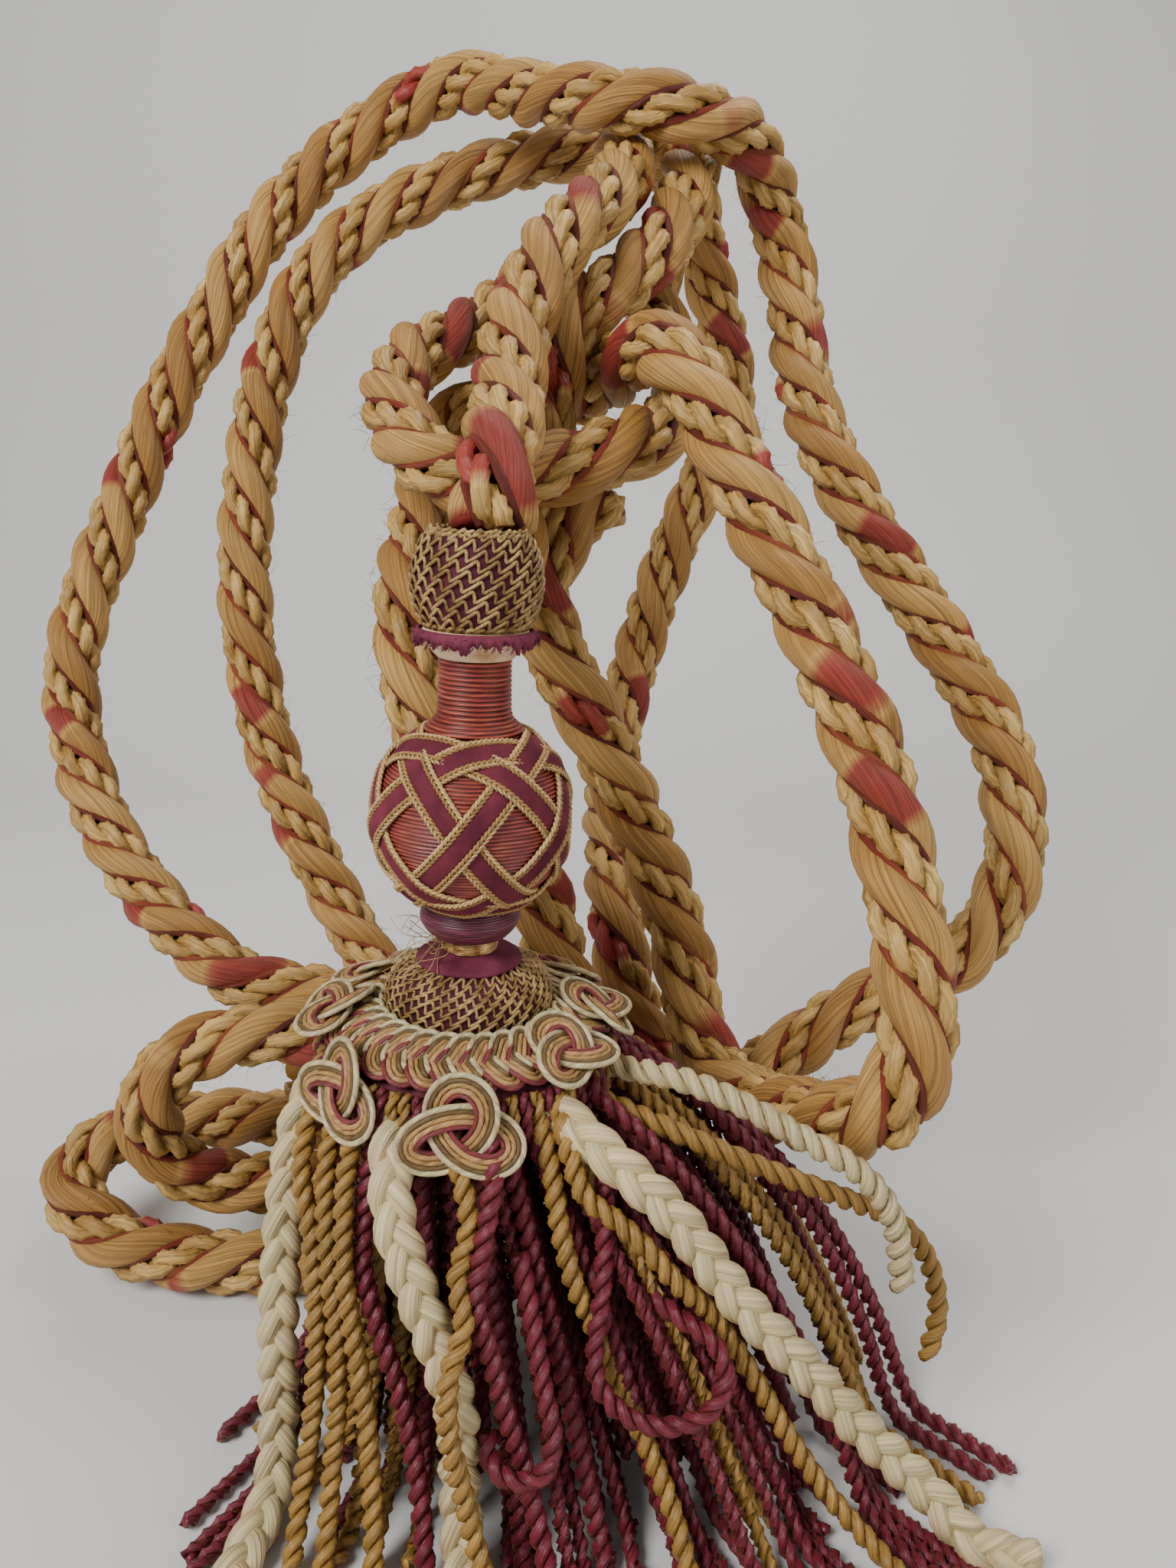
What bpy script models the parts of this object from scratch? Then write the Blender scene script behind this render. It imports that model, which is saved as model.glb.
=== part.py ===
"""A large key tassel on a heavy four-ply rope tieback, hanging from the top of its rope.

Every length is in millimetres and is turned into metres when a mesh is made. The origin is the
point on top of the rope that the whole piece hangs from. X runs right, Y runs away from the
viewer and Z runs up, so everything lies below zero.
"""
import math

import bmesh
import bpy
import numpy as np
from mathutils import Vector

MM = 0.001
GAP = 0.3

# Where the tassel hangs, how far its top leans to the right, and the heights of its pieces
# before it leans, from the top down
AXIS_X = 22.0
AXIS_Y = -242.0
LEAN = math.radians(2.6)
BEAD_TOP = -197.5
BEAD_FOOT = -225.5
COLLAR_FOOT = -234.5
NECK_FOOT = -256.7
BALL_CENTRE = -284.0
FOOT_COLLAR_TOP = -311.4
BAND_TOP = -322.8
CONE_TOP = -328.0
DOME_TOP = -332.2
DOME_FOOT = -347.4
SKIRT_TOP = -347.7
SKIRT_ROOT = -363.0
SURFACE = -502.0

# The rope
ROPE_DIAMETER = 25.2
ROPE_LAY = 74.0
STEPS_PER_LAY = 10
PLIES = 4

# The head
BEAD_RADIUS = 19.7
BALL_RADIUS = 30.4
BALL_SIDES = 28
RIBBON_WIDTH = 8.0
RIBBON_OUTER = 32.0
RIBBON_INNER = 30.8
RIBBON_COUNT = 6
RIBBON_TILT = math.radians(52.0)
RIBBON_SIDES = 16
NET_RIDGE = 0.8

# The skirt
CORD_RADIUS = 3.3
PLAIT_RADIUS = 5.6
ROOT_RADII = (43.2, 35.6, 28.0, 14.0)
ROOT_SPACING = 7.9
CORD_STEPS = 7

TASSEL_LOOP = (
    (30.3, -239.2, -196.2), (30.5, -238.4, -187.5), (31, -230, -177.5), (32, -212, -168), (32, -183, -152), (34, -161, -132),
    (40, -145, -115), (48, -129, -99), (61, -106, -84), (70, -80, -71), (74, -50, -57),
    (74, -26, -45), (79, -15.5, -38.5), (89.5, -11, -36), (100, -15, -39), (104, -24, -45),
    (102.5, -35, -54), (99, -56, -71),
    (88, -89, -93), (71, -106, -111), (54, -120, -124), (46, -129, -138), (42, -137, -161),
    (37, -144, -177), (32, -153, -192), (31, -165, -205), (30, -186, -213), (28, -205, -214), (27, -220.6, -214),
)
LONG_ROPE = (
    (-64, -143, -433), (-53, -129, -436), (-37, -106, -425), (-35, -93, -414), (-53, -73, -391),
    (-83, -55, -335), (-97, -45, -291), (-104, -32, -232), (-100, -17, -175), (-92, -6, -135),
    (-76, 4, -98), (-52, 11, -72), (-26, 15, -57), (2, 16, -47), (31, 16, -40),
    (61, 17, -36), (90, 20, -39), (107, 21, -56), (114, 29, -77), (121, 36, -99),
    (129, 37, -128), (130, 34, -151), (119, 28, -179), (98, 16, -227), (80, -3, -281),
    (70, -35, -315), (68, -65, -335), (69, -97, -352), (71, -124, -375), (76, -135, -396),
    (85, -139, -417), (102, -138, -433), (125, -138, -431), (144, -141, -417), (162, -144, -401),
    (187, -147, -385), (207, -150, -372), (221, -151, -353), (228, -147, -331), (229, -137, -309),
    (226, -119, -285), (214, -106, -262), (199, -96, -238), (176, -87, -204), (160, -74, -174),
    (152, -54, -145), (149, -34, -109), (141, -27, -74), (125, -50, -49), (94, -71, -42),
    (65, -61, -36), (35, -32, -26), (2, -1, -13), (-24, 14, -17), (-55, 18, -34),
    (-78, 16, -53), (-101, 9, -80), (-116, 3, -105), (-131, -4, -130), (-147, -12, -162),
    (-162, -24, -199), (-176, -37, -237), (-182, -50, -269), (-177, -64, -302), (-160, -86, -333),
    (-135, -108, -359), (-105, -129, -378), (-85, -137, -388), (-55, -139, -393), (-32, -139, -400),
    (-10, -136, -419), (-11, -133, -448), (-37, -120, -466), (-67, -120, -463), (-102, -120, -462),
    (-134, -135, -457), (-153, -149, -460), (-157, -163, -469), (-136, -178, -482), (-101, -183, -488.6),
    (-59, -184, -489.2), (-24, -182, -489), (-4, -171, -489.2), (4, -155, -489.2), (-1, -140, -489.2),
    (-16, -133, -489), (-36, -139, -486.5), (-61, -152, -474), (-92, -167, -463), (-109, -175, -449), (-114, -182, -422),
    (-106, -179, -406), (-85, -174, -396), (-61, -173, -393), (-44, -172, -395),
)
FRONT_ROPE = (
    (65, -173, -430), (54, -177, -390), (45, -178, -355), (39, -176, -332), (25, -173, -313),
    (6, -169, -290), (-4, -167, -268), (-8, -161, -246), (-10, -153, -230), (-9, -137, -212),
    (-6, -115, -192), (-3, -101, -173), (7, -96, -160), (24, -99, -154), (36, -98, -153),
    (54, -101, -152), (65.5, -113, -146.7), (74.4, -134, -140.6), (85, -162, -141), (97, -175, -157),
    (106, -184, -177), (117, -199, -200), (129, -212, -225), (139, -225, -249), (147, -234, -270),
    (152, -244, -291), (156, -254, -313), (158, -264, -334), (157, -270, -351), (151, -270, -368),
    (142, -254, -383), (130, -224, -398), (119, -198, -408), (108, -178, -406), (101, -167, -393),
    (97, -158, -371), (89, -152, -343), (80, -153, -320), (69, -159, -293), (57, -161, -267),
    (46, -158, -246), (39, -149, -226), (44, -139, -212), (53, -133, -198), (67, -130, -189),
)
KNOT_RING = (
    (50, -44, -95), (33, -57, -105), (19, -72, -118), (4, -94, -130), (-8, -113, -138),
    (-13, -143, -156), (-3, -166, -172), (9, -176, -181), (26, -181, -183), (43, -177, -181),
    (64, -167, -175), (80, -149, -169), (95, -118, -156), (92, -95, -136), (84, -73, -116),
    (85.6, -57.8, -97.8), (91, -33, -86),
)

# Plaits and cords that lie over the rest of the skirt: radius and route
LEAVING_CORDS = {
    "plait_right": (PLAIT_RADIUS, (
        (45, -272, -362.5), (53, -281, -368), (66, -289, -376), (83, -293, -391), (103, -296, -418),
        (123, -298, -440), (142, -298, -463), (163, -300, -484), (176, -307, -496), (192, -313, -496.4))),
    "plait_front": (PLAIT_RADIUS, (
        (8.6, -277.5, -361), (2, -286, -366.5), (1, -294, -376), (3, -301, -389), (9, -306, -407),
        (16, -309, -427), (20, -310, -447), (20, -309, -474), (21, -316, -491.5),
        (24, -333, -496.4), (28, -358, -496.4))),
    "plait_left": (PLAIT_RADIUS, (
        (-13, -254, -361), (-25, -257, -366), (-32, -261, -376), (-37, -267, -400), (-40, -277, -440),
        (-41, -283, -478), (-42, -292, -492), (-46, -311, -496.4), (-50, -338, -496.4))),
    "cream_cord": (4.2, (
        (56.7, -251.6, -362), (68, -256, -363), (87, -266, -362), (104, -273, -366), (122, -279, -374),
        (139, -281, -384), (151, -280, -401), (156, -279, -426))),
    "gold_cord": (3.6, (
        (52, -258, -362), (60, -262.5, -369), (70, -265, -373), (89, -269, -380), (114, -270, -391),
        (139, -267, -403), (158, -262, -415), (170, -259, -432), (174, -261, -450), (171, -263, -466))),
}


def material(name, colour, roughness, metallic=0.0):
    made = bpy.data.materials.new(name)
    made.use_nodes = True
    shader = made.node_tree.nodes["Principled BSDF"]
    shader.inputs["Base Color"].default_value = (*colour, 1.0)
    shader.inputs["Roughness"].default_value = roughness
    shader.inputs["Metallic"].default_value = metallic
    made.diffuse_color = (*colour, 1.0)
    return made


def add_object(name, points, faces, surface, smooth=True):
    """Make one mesh object from points in millimetres."""
    mesh = bpy.data.meshes.new(name)
    mesh.from_pydata([Vector(point) * MM for point in points], [], faces)
    mesh.validate()
    if smooth:
        mesh.shade_smooth()
        mesh.set_sharp_from_angle(angle=math.radians(40))
    made = bpy.data.objects.new(name, mesh)
    made.data.materials.append(surface)
    bpy.context.collection.objects.link(made)
    return made


def hung(point):
    """A point of the upright tassel, given from its axis, moved to where the tassel hangs."""
    x, y, z = point
    rise = z - BALL_CENTRE
    return (AXIS_X + x * math.cos(LEAN) + rise * math.sin(LEAN), AXIS_Y + y,
            BALL_CENTRE + rise * math.cos(LEAN) - x * math.sin(LEAN))


def as_guide(guide):
    guide.hide_render = True
    guide.display_type = "WIRE"
    return guide


def smooth_route(route, step):
    """Centripetal curve through the route's points, cut into equal steps."""
    points = np.array(route, dtype=float)
    points = np.vstack([2 * points[0] - points[1], points, 2 * points[-1] - points[-2]])
    pieces = []
    for i in range(1, len(points) - 2):
        p0, p1, p2, p3 = points[i - 1:i + 3]
        t1 = np.linalg.norm(p1 - p0) ** 0.5
        t2 = t1 + np.linalg.norm(p2 - p1) ** 0.5
        t3 = t2 + np.linalg.norm(p3 - p2) ** 0.5
        t = np.linspace(t1, t2, 20, endpoint=False)[:, None]
        a1 = (t1 - t) / t1 * p0 + t / t1 * p1
        a2 = (t2 - t) / (t2 - t1) * p1 + (t - t1) / (t2 - t1) * p2
        a3 = (t3 - t) / (t3 - t2) * p2 + (t - t2) / (t3 - t2) * p3
        b1 = (t2 - t) / t2 * a1 + t / t2 * a2
        b2 = (t3 - t) / (t3 - t1) * a2 + (t - t1) / (t3 - t1) * a3
        pieces.append((t2 - t) / (t2 - t1) * b1 + (t - t1) / (t2 - t1) * b2)
    pieces.append(points[-2][None])
    curve = np.vstack(pieces)
    run = np.concatenate([[0.0], np.cumsum(np.linalg.norm(np.diff(curve, axis=0), axis=1))])
    count = max(2, round(run[-1] / step))
    at = np.linspace(0.0, run[-1], count + 1)
    return np.column_stack([np.interp(at, run, curve[:, k]) for k in range(3)])


def carried_frames(line):
    """Directions along a line, with a side direction carried along it without twist."""
    ahead = np.gradient(line, axis=0)
    ahead /= np.linalg.norm(ahead, axis=1)[:, None]
    side = np.cross(ahead[0], (0.0, 0.0, 1.0))
    if np.linalg.norm(side) < 0.1:
        side = np.cross(ahead[0], (0.0, 1.0, 0.0))
    sides = []
    for direction in ahead:
        side = side - direction * np.dot(side, direction)
        side = side / np.linalg.norm(side)
        sides.append(side)
    sides = np.array(sides)
    return sides, np.cross(sides, ahead)


def swept(rings):
    """Points and faces of a closed bar through rings of equal point count."""
    count = len(rings[0])
    points = [tuple(point) for ring in rings for point in ring]
    faces = [tuple(range(count))[::-1]]
    for i in range(len(rings) - 1):
        for k in range(count):
            here = i * count + k
            beside = i * count + (k + 1) % count
            faces.append((here, beside, beside + count, here + count))
    faces.append(tuple(range((len(rings) - 1) * count, len(rings) * count)))
    return points, faces


def outward(made):
    """Turn every face of an object's mesh outward."""
    mesh = bmesh.new()
    mesh.from_mesh(made.data)
    bmesh.ops.recalc_face_normals(mesh, faces=mesh.faces)
    mesh.to_mesh(made.data)
    mesh.free()
    return made


def rope(name, route, surface):
    """A rope whose four plies are the four corners of its twisting section."""
    line = smooth_route(route, ROPE_LAY / STEPS_PER_LAY)
    side, up = carried_frames(line)
    rings = []
    for i, centre in enumerate(line):
        turn = 2 * math.pi * i / STEPS_PER_LAY
        ring = []
        for ply in range(PLIES):
            angle = turn + 2 * math.pi * ply / PLIES
            offset = side[i] * math.cos(angle) + up[i] * math.sin(angle)
            ring.append(centre + offset * ROPE_DIAMETER / 2)
        rings.append(ring)
    points, faces = swept(rings)
    return outward(add_object(name, points, faces, surface))


def turned(name, profile, sides, surface, ripple=None):
    """A solid turned on the tassel's axis from (radius, height) pairs, top to bottom.

    ripple gives an extra radius for a (row, side) of the profile.
    """
    rings = []
    for row, (radius, height) in enumerate(profile):
        ring = []
        for k in range(sides):
            angle = 2 * math.pi * k / sides
            reach = radius + (ripple(row, k) if ripple else 0.0)
            ring.append(hung((reach * math.cos(angle), reach * math.sin(angle), height)))
        rings.append(ring)
    points, faces = swept(rings)
    return outward(add_object(name, points, faces, surface))


def ring_of_section(name, section, sides, surface, ripple=None):
    """A closed ring round the axis from a loop of (radius, height) pairs."""
    points = []
    for k in range(sides):
        angle = 2 * math.pi * k / sides
        for row, (radius, height) in enumerate(section):
            extra, drop = ripple(row, k) if ripple else (0.0, 0.0)
            reach = radius + extra
            points.append(hung((reach * math.cos(angle), reach * math.sin(angle), height + drop)))
    count = len(section)
    faces = []
    for k in range(sides):
        after = (k + 1) % sides
        for row in range(count):
            beside = (row + 1) % count
            faces.append((k * count + row, k * count + beside, after * count + beside, after * count + row))
    return outward(add_object(name, points, faces, surface))


def net_ripple(rows):
    """Raise every second crossing of a net, row by row."""
    def ripple(row, side):
        if row == 0 or row >= rows - 1:
            return 0.0
        return NET_RIDGE if (row + side) % 2 else -NET_RIDGE * 0.5
    return ripple


def arc_profile(top, foot, top_radius, wide_radius, foot_radius, rows):
    """A bulging outline between two heights."""
    outline = []
    for i in range(rows + 1):
        share = i / rows
        straight = top_radius + (foot_radius - top_radius) * share
        bulge = wide_radius - (top_radius + foot_radius) / 2
        outline.append((straight + bulge * math.sin(math.pi * share), top + (foot - top) * share))
    return outline


def net_bead(surface):
    rows = 9
    outline = arc_profile(BEAD_TOP, BEAD_FOOT, 15.5, BEAD_RADIUS, 16.8, rows)
    return turned("net_bead", outline, 28, surface, net_ripple(rows + 1))


def bead_collar(surface):
    """The bare wooden underside of the bead, down to the neck."""
    outline = [(15.8, BEAD_FOOT - GAP), (16.4, BEAD_FOOT - 1.4), (15.4, BEAD_FOOT - 4.4),
               (13.0, COLLAR_FOOT + 1.6), (11.4, COLLAR_FOOT)]
    return turned("bead_collar", outline, 24, surface)


def velvet_rag(surface):
    """The torn velvet round the upper half of the wooden collar."""
    def ragged(row, side):
        swing = math.sin(side * 2.4) + 0.6 * math.sin(side * 5.1 + 1.0)
        return (0.5 * swing, 1.0 * swing) if row == 2 else (0.0, 0.0)
    section = [(17.2, BEAD_FOOT - 0.4), (19.6, BEAD_FOOT - 0.5), (19.4, BEAD_FOOT - 4.4), (17.2, BEAD_FOOT - 5.2)]
    return ring_of_section("velvet_rag", section, 30, surface, ragged)


def wound_neck(surface):
    outline = [(11.0, COLLAR_FOOT - GAP), (11.2, COLLAR_FOOT - 8), (11.4, NECK_FOOT + 5.5),
               (12.6, NECK_FOOT + 3.0), (15.0, NECK_FOOT + 1.4), (15.2, NECK_FOOT)]
    return turned("wound_neck", outline, 24, surface)


def ball(surface):
    outline = []
    rows = 12
    end = math.asin(27.0 / BALL_RADIUS)
    for i in range(rows + 1):
        angle = end - 2 * end * i / rows
        outline.append((BALL_RADIUS * math.cos(angle), BALL_CENTRE + BALL_RADIUS * math.sin(angle)))
    return turned("ball", outline, BALL_SIDES, surface)


def ribbon_ring(index, surface):
    """One ribbon round the ball: a flat ring tilted to the axis."""
    name = "ribbon_lattice" if index == 0 else "ribbon_guide_%d" % index
    lift = 0.05 * (index % 3)
    outer = (RIBBON_OUTER + lift) / math.cos(math.pi / RIBBON_SIDES)
    inner = (RIBBON_INNER - 0.5 * lift) / math.cos(math.pi / RIBBON_SIDES)
    half = RIBBON_WIDTH / 2
    section = [(inner, half), (outer, half), (outer, -half), (inner, -half)]
    yaw = 2 * math.pi * index / RIBBON_COUNT
    points = []
    for k in range(RIBBON_SIDES):
        angle = 2 * math.pi * (k + 0.25 * index) / RIBBON_SIDES
        for radius, height in section:
            flat = Vector((radius * math.cos(angle), radius * math.sin(angle), height))
            spot = flat
            spot.rotate(Vector((0, 0, 1)).rotation_difference(
                Vector((math.sin(RIBBON_TILT) * math.cos(yaw), math.sin(RIBBON_TILT) * math.sin(yaw),
                        math.cos(RIBBON_TILT)))))
            points.append(hung((spot.x, spot.y, BALL_CENTRE + spot.z)))
    faces = []
    for k in range(RIBBON_SIDES):
        after = (k + 1) % RIBBON_SIDES
        for row in range(4):
            beside = (row + 1) % 4
            faces.append((k * 4 + row, k * 4 + beside, after * 4 + beside, after * 4 + row))
    return outward(add_object(name, points, faces, surface, smooth=False))


def ribbon_lattice(surface):
    """Six ribbons, joined where they cross."""
    whole = ribbon_ring(0, surface)
    for index in range(1, RIBBON_COUNT):
        joint = whole.modifiers.new("ribbon_%d" % index, "BOOLEAN")
        joint.operation = "UNION"
        joint.object = as_guide(ribbon_ring(index, surface))
    return whole


def foot_pieces(velvet, gold):
    turned("foot_collar", arc_profile(FOOT_COLLAR_TOP, BAND_TOP + GAP, 13.0, 16.0, 12.0, 4), 24, velvet)
    turned("gold_band", [(9.0, BAND_TOP), (9.4, BAND_TOP - 1.5), (9.0, CONE_TOP + GAP)], 16, gold)
    outline = [(8.8, CONE_TOP), (9.8, CONE_TOP - 0.9), (16.6, CONE_TOP - 2.6), (17.2, CONE_TOP - 3.4),
               (16.4, DOME_TOP + GAP)]
    turned("velvet_cone", outline, 24, velvet)


def net_dome(surface):
    outline = [(16.0, DOME_TOP), (21.5, DOME_TOP - 2.2), (25.4, DOME_TOP - 5.6), (27.2, DOME_TOP - 9.4),
               (27.2, DOME_TOP - 12.6), (26.0, DOME_FOOT)]
    return turned("net_dome", outline, 32, surface, net_ripple(len(outline)))


RUFF_SIDES = 48


def gimp_ruff(surface):
    """The sloping band of interlaced gimp round the dome's foot."""
    def laced(row, side):
        ridge = 0.7 if side % 2 else -0.5
        return (ridge, ridge) if row in (1, 2) else (0.0, 0.0)
    section = [(29.0, -349.2), (29.8, -345.9), (44.6, -352.6), (46.2, -357.4)]
    return ring_of_section("gimp_ruff", section, RUFF_SIDES, surface, laced)


# Each knot of gimp: direction round the axis, distance from it, height, half width, and how far
# its face is turned up from level
GIMP_KNOTS = {
    "gimp_knot_front": (-1.51, 51.7, -363.4, 14.5, 0.24),
    "gimp_knot_left": (-2.34, 50.8, -360.5, 13.5, 0.24),
    "gimp_knot_far_left": (-3.04, 43.4, -348.0, 12.0, 1.15),
    "gimp_knot_right": (-0.685, 43.4, -348.0, 12.0, 1.15),
    "gimp_knot_far_right": (0.10, 43.4, -348.0, 12.0, 1.15),
    "gimp_knot_back_right": (0.885, 43.4, -348.0, 12.0, 1.15),
    "gimp_knot_back": (1.67, 43.4, -348.0, 12.0, 1.15),
    "gimp_knot_back_left": (2.455, 43.4, -348.0, 12.0, 1.15),
}


def gimp_knot(name, bearing, distance, height, size, tilt, surface):
    """Three laced bights of flat gimp, leaning on the ruff."""
    out = Vector((math.cos(bearing), math.sin(bearing), 0.0))
    along = Vector((-math.sin(bearing), math.cos(bearing), 0.0))
    face = out * math.cos(tilt) + Vector((0, 0, math.sin(tilt)))
    down = along.cross(face).normalized()
    centre = out * distance + Vector((0, 0, height))
    steps = 24
    wide, thick = 2.8, 0.95
    line = []
    for i in range(steps):
        t = 2 * math.pi * i / steps
        x = size * (math.sin(t) + 2 * math.sin(2 * t)) / 2.6
        y = size * (math.cos(t) - 2 * math.cos(2 * t)) / 3.2
        z = -2.1 * math.sin(3 * t)
        line.append(centre + along * x + down * y + face * z)
    points = []
    for i in range(steps):
        ahead = (line[(i + 1) % steps] - line[i - 1]).normalized()
        across = ahead.cross(face).normalized()
        lift = across.cross(ahead).normalized()
        for a, b in ((1, 1), (-1, 1), (-1, -1), (1, -1)):
            points.append(hung(line[i] + across * wide * a + lift * thick * b))
    faces = []
    for i in range(steps):
        after = (i + 1) % steps
        for k in range(4):
            beside = (k + 1) % 4
            faces.append((i * 4 + k, i * 4 + beside, after * 4 + beside, after * 4 + k))
    return outward(add_object(name, points, faces, surface))


def cord_line(root_x, root_y):
    """One plain cord of the skirt, from its root down to where it ends, as points off the axis.

    Cords on the right swing far out over the surface, those on the left and in front a little.
    """
    swing_x = 2.05 * root_x if root_x > 0 else 0.45 * root_x
    swing_y = 0.55 * root_y if root_y < 0 else 0.0
    swing_y -= 0.35 * max(root_x, 0.0)
    wave = 2.2 * math.sin(root_x * 1.7 + root_y * 2.3)
    rest = SURFACE + CORD_RADIUS * 0.5
    outer = math.hypot(root_x, root_y) > 40
    foot = rest + 7 if outer else rest + 8 + 5 * (1 + math.sin(root_x * 0.9 - root_y * 1.3))
    droop = 0.30 + 0.35 * max(root_x, 0.0) / 44
    knee_x = root_x + droop * swing_x + wave * 0.4
    knee_y = root_y + droop * swing_y
    knee_z = SKIRT_ROOT - (0.52 - 0.22 * max(root_x, 0.0) / 44) * (SKIRT_ROOT - foot)
    points = []
    for i in range(CORD_STEPS + 1):
        s = i / CORD_STEPS
        a, b, c = (1 - s) ** 2, 2 * s * (1 - s), s * s
        points.append((a * root_x + b * knee_x + c * (root_x + swing_x),
                       a * root_y + b * knee_y + c * (root_y + swing_y),
                       a * SKIRT_ROOT + b * knee_z + c * foot))
    if outer and root_y < 18:
        ahead_x = (0.9 if root_x > 0 else 0.55) * root_x / 44
        ahead_x, ahead_y = ahead_x / math.hypot(ahead_x, 1), -1 / math.hypot(ahead_x, 1)
        tail = 42.0 + 14.0 * max(-root_y, 0.0) / 44 + 4.0 * math.sin(root_x + root_y)
        last = points[-1]
        for along, drop in ((8.0, 6.4), (0.55 * tail, 7.0), (tail, 7.0)):
            points.append((last[0] + ahead_x * along, last[1] + ahead_y * along, last[2] - drop))
    line = np.array(points) + np.array((AXIS_X, AXIS_Y, 0.0))
    drift = (np.array(hung((root_x, root_y, SKIRT_ROOT))) - line[0])[None]
    fade = np.clip(1 - np.arange(len(line)) / 4, 0, 1)[:, None]
    return line + drift * fade


def skirt_lines():
    """Every strand of the skirt as (radius, sides, line): the leaving ones first, then the plain
    cords that clear all before them."""
    kept = [(radius, 4, smooth_route(route, 13.0)) for radius, route in LEAVING_CORDS.values()]
    ropes = [smooth_route(route, 8.0) for route in (FRONT_ROPE, LONG_ROPE)]
    for radius in ROOT_RADII:
        count = int(2 * math.pi * radius / ROOT_SPACING)
        for k in range(count):
            bearing = 2 * math.pi * (k + 0.5 * (radius < 40)) / count + 0.031
            line = cord_line(radius * math.cos(bearing), radius * math.sin(bearing))
            apart = all(clear(line, CORD_RADIUS, other, size) for size, _, other in kept)
            if apart and all(clear(line, CORD_RADIUS, path, ROPE_DIAMETER / 2) for path in ropes):
                kept.append((CORD_RADIUS, 3, line))
    return kept


def clear(line, radius, other, size):
    """True where two lines keep their radii and a little more apart, below the skirt's head."""
    first, second = fine(line), fine(other)
    first = first[first[:, 2] < SKIRT_ROOT - 3]
    second = second[second[:, 2] < SKIRT_ROOT - 3]
    apart = np.linalg.norm(first[:, None] - second[None], axis=2)
    return apart.min() > radius + size + 0.5


def fine(line):
    """The same line with three points for each one."""
    spots = np.arange(len(line))
    at = np.linspace(0, len(line) - 1, 3 * len(line))
    return np.column_stack([np.interp(at, spots, line[:, k]) for k in range(3)])


def strand_rings(line, radius, sides):
    """Rings of a strand, with a flat side down wherever it lies level."""
    ahead = np.gradient(line, axis=0)
    ahead /= np.linalg.norm(ahead, axis=1)[:, None]
    lean = line[-1] - line[0]
    lean[2] = 0.0
    if np.linalg.norm(lean) < 1.0:
        lean = np.array((0.0, 1.0, 0.0))
    across = np.cross(lean, (0.0, 0.0, 1.0))
    across /= np.linalg.norm(across)
    first = -math.pi / 6 if sides == 3 else -math.pi / 4
    rings = []
    for centre, direction in zip(line, ahead):
        side = across - direction * np.dot(across, direction)
        side /= np.linalg.norm(side)
        up = np.cross(side, direction)
        ring = []
        for k in range(sides):
            angle = first + 2 * math.pi * k / sides
            ring.append(centre + (side * math.cos(angle) + up * math.sin(angle)) * radius)
        rings.append(ring)
    return rings


def skirt(surface):
    """The skirt's head with every strand fused into it."""
    points = []
    faces = []
    for radius, sides, line in skirt_lines():
        bar_points, bar_faces = swept(strand_rings(line, radius, sides))
        faces.extend(tuple(index + len(points) for index in face) for face in bar_faces)
        points.extend(bar_points)
    strands = as_guide(outward(add_object("strand_guide", points, faces, surface)))
    outline = [(25.0, SKIRT_TOP), (28.4, -349.8), (45.0, -358.2), (47.6, -361.0), (46.8, -367.0)]
    head = turned("skirt", outline, 40, surface)
    joint = head.modifiers.new("strands", "BOOLEAN")
    joint.operation = "UNION"
    joint.use_self = True
    joint.object = strands
    return head


def build():
    for old in list(bpy.data.objects):
        bpy.data.objects.remove(old, do_unlink=True)
    rope_gold = material("rope_gold", (0.50, 0.30, 0.11), 0.6)
    purple_velvet = material("purple_velvet", (0.14, 0.03, 0.07), 0.9)
    crimson_cord = material("crimson_cord", (0.36, 0.05, 0.05), 0.5)
    gold_net = material("gold_net", (0.42, 0.30, 0.13), 0.45)
    cream_wood = material("cream_wood", (0.72, 0.58, 0.40), 0.7)
    gold_foil = material("gold_foil", (0.55, 0.36, 0.12), 0.35, 0.6)
    cream_gimp = material("cream_gimp", (0.68, 0.55, 0.38), 0.6)
    skirt_yarn = material("skirt_yarn", (0.34, 0.10, 0.08), 0.5)
    rope("tassel_loop", TASSEL_LOOP, rope_gold)
    rope("long_rope", LONG_ROPE, rope_gold)
    rope("front_rope", FRONT_ROPE, rope_gold)
    rope("knot_ring", KNOT_RING, rope_gold)
    net_bead(gold_net)
    bead_collar(cream_wood)
    velvet_rag(purple_velvet)
    wound_neck(crimson_cord)
    ball(crimson_cord)
    ribbon_lattice(purple_velvet)
    foot_pieces(purple_velvet, gold_foil)
    net_dome(gold_net)
    gimp_ruff(cream_gimp)
    for name, row in GIMP_KNOTS.items():
        gimp_knot(name, *row, cream_gimp)
    skirt(skirt_yarn)


build()
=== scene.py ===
"""A large key tassel on a heavy rope tieback, hung from the top of its rope.

The rope is four thick plies laid together. It carries a turned head, in purple velvet, knotted
net, wound thread and laced ribbon, above a skirt of twisted and plaited cords. Sizes are in
millimetres and are turned into metres when a mesh is made. X runs right, Y runs away from the
viewer and Z runs up from the point that the rope hangs from.
"""
import math

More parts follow.
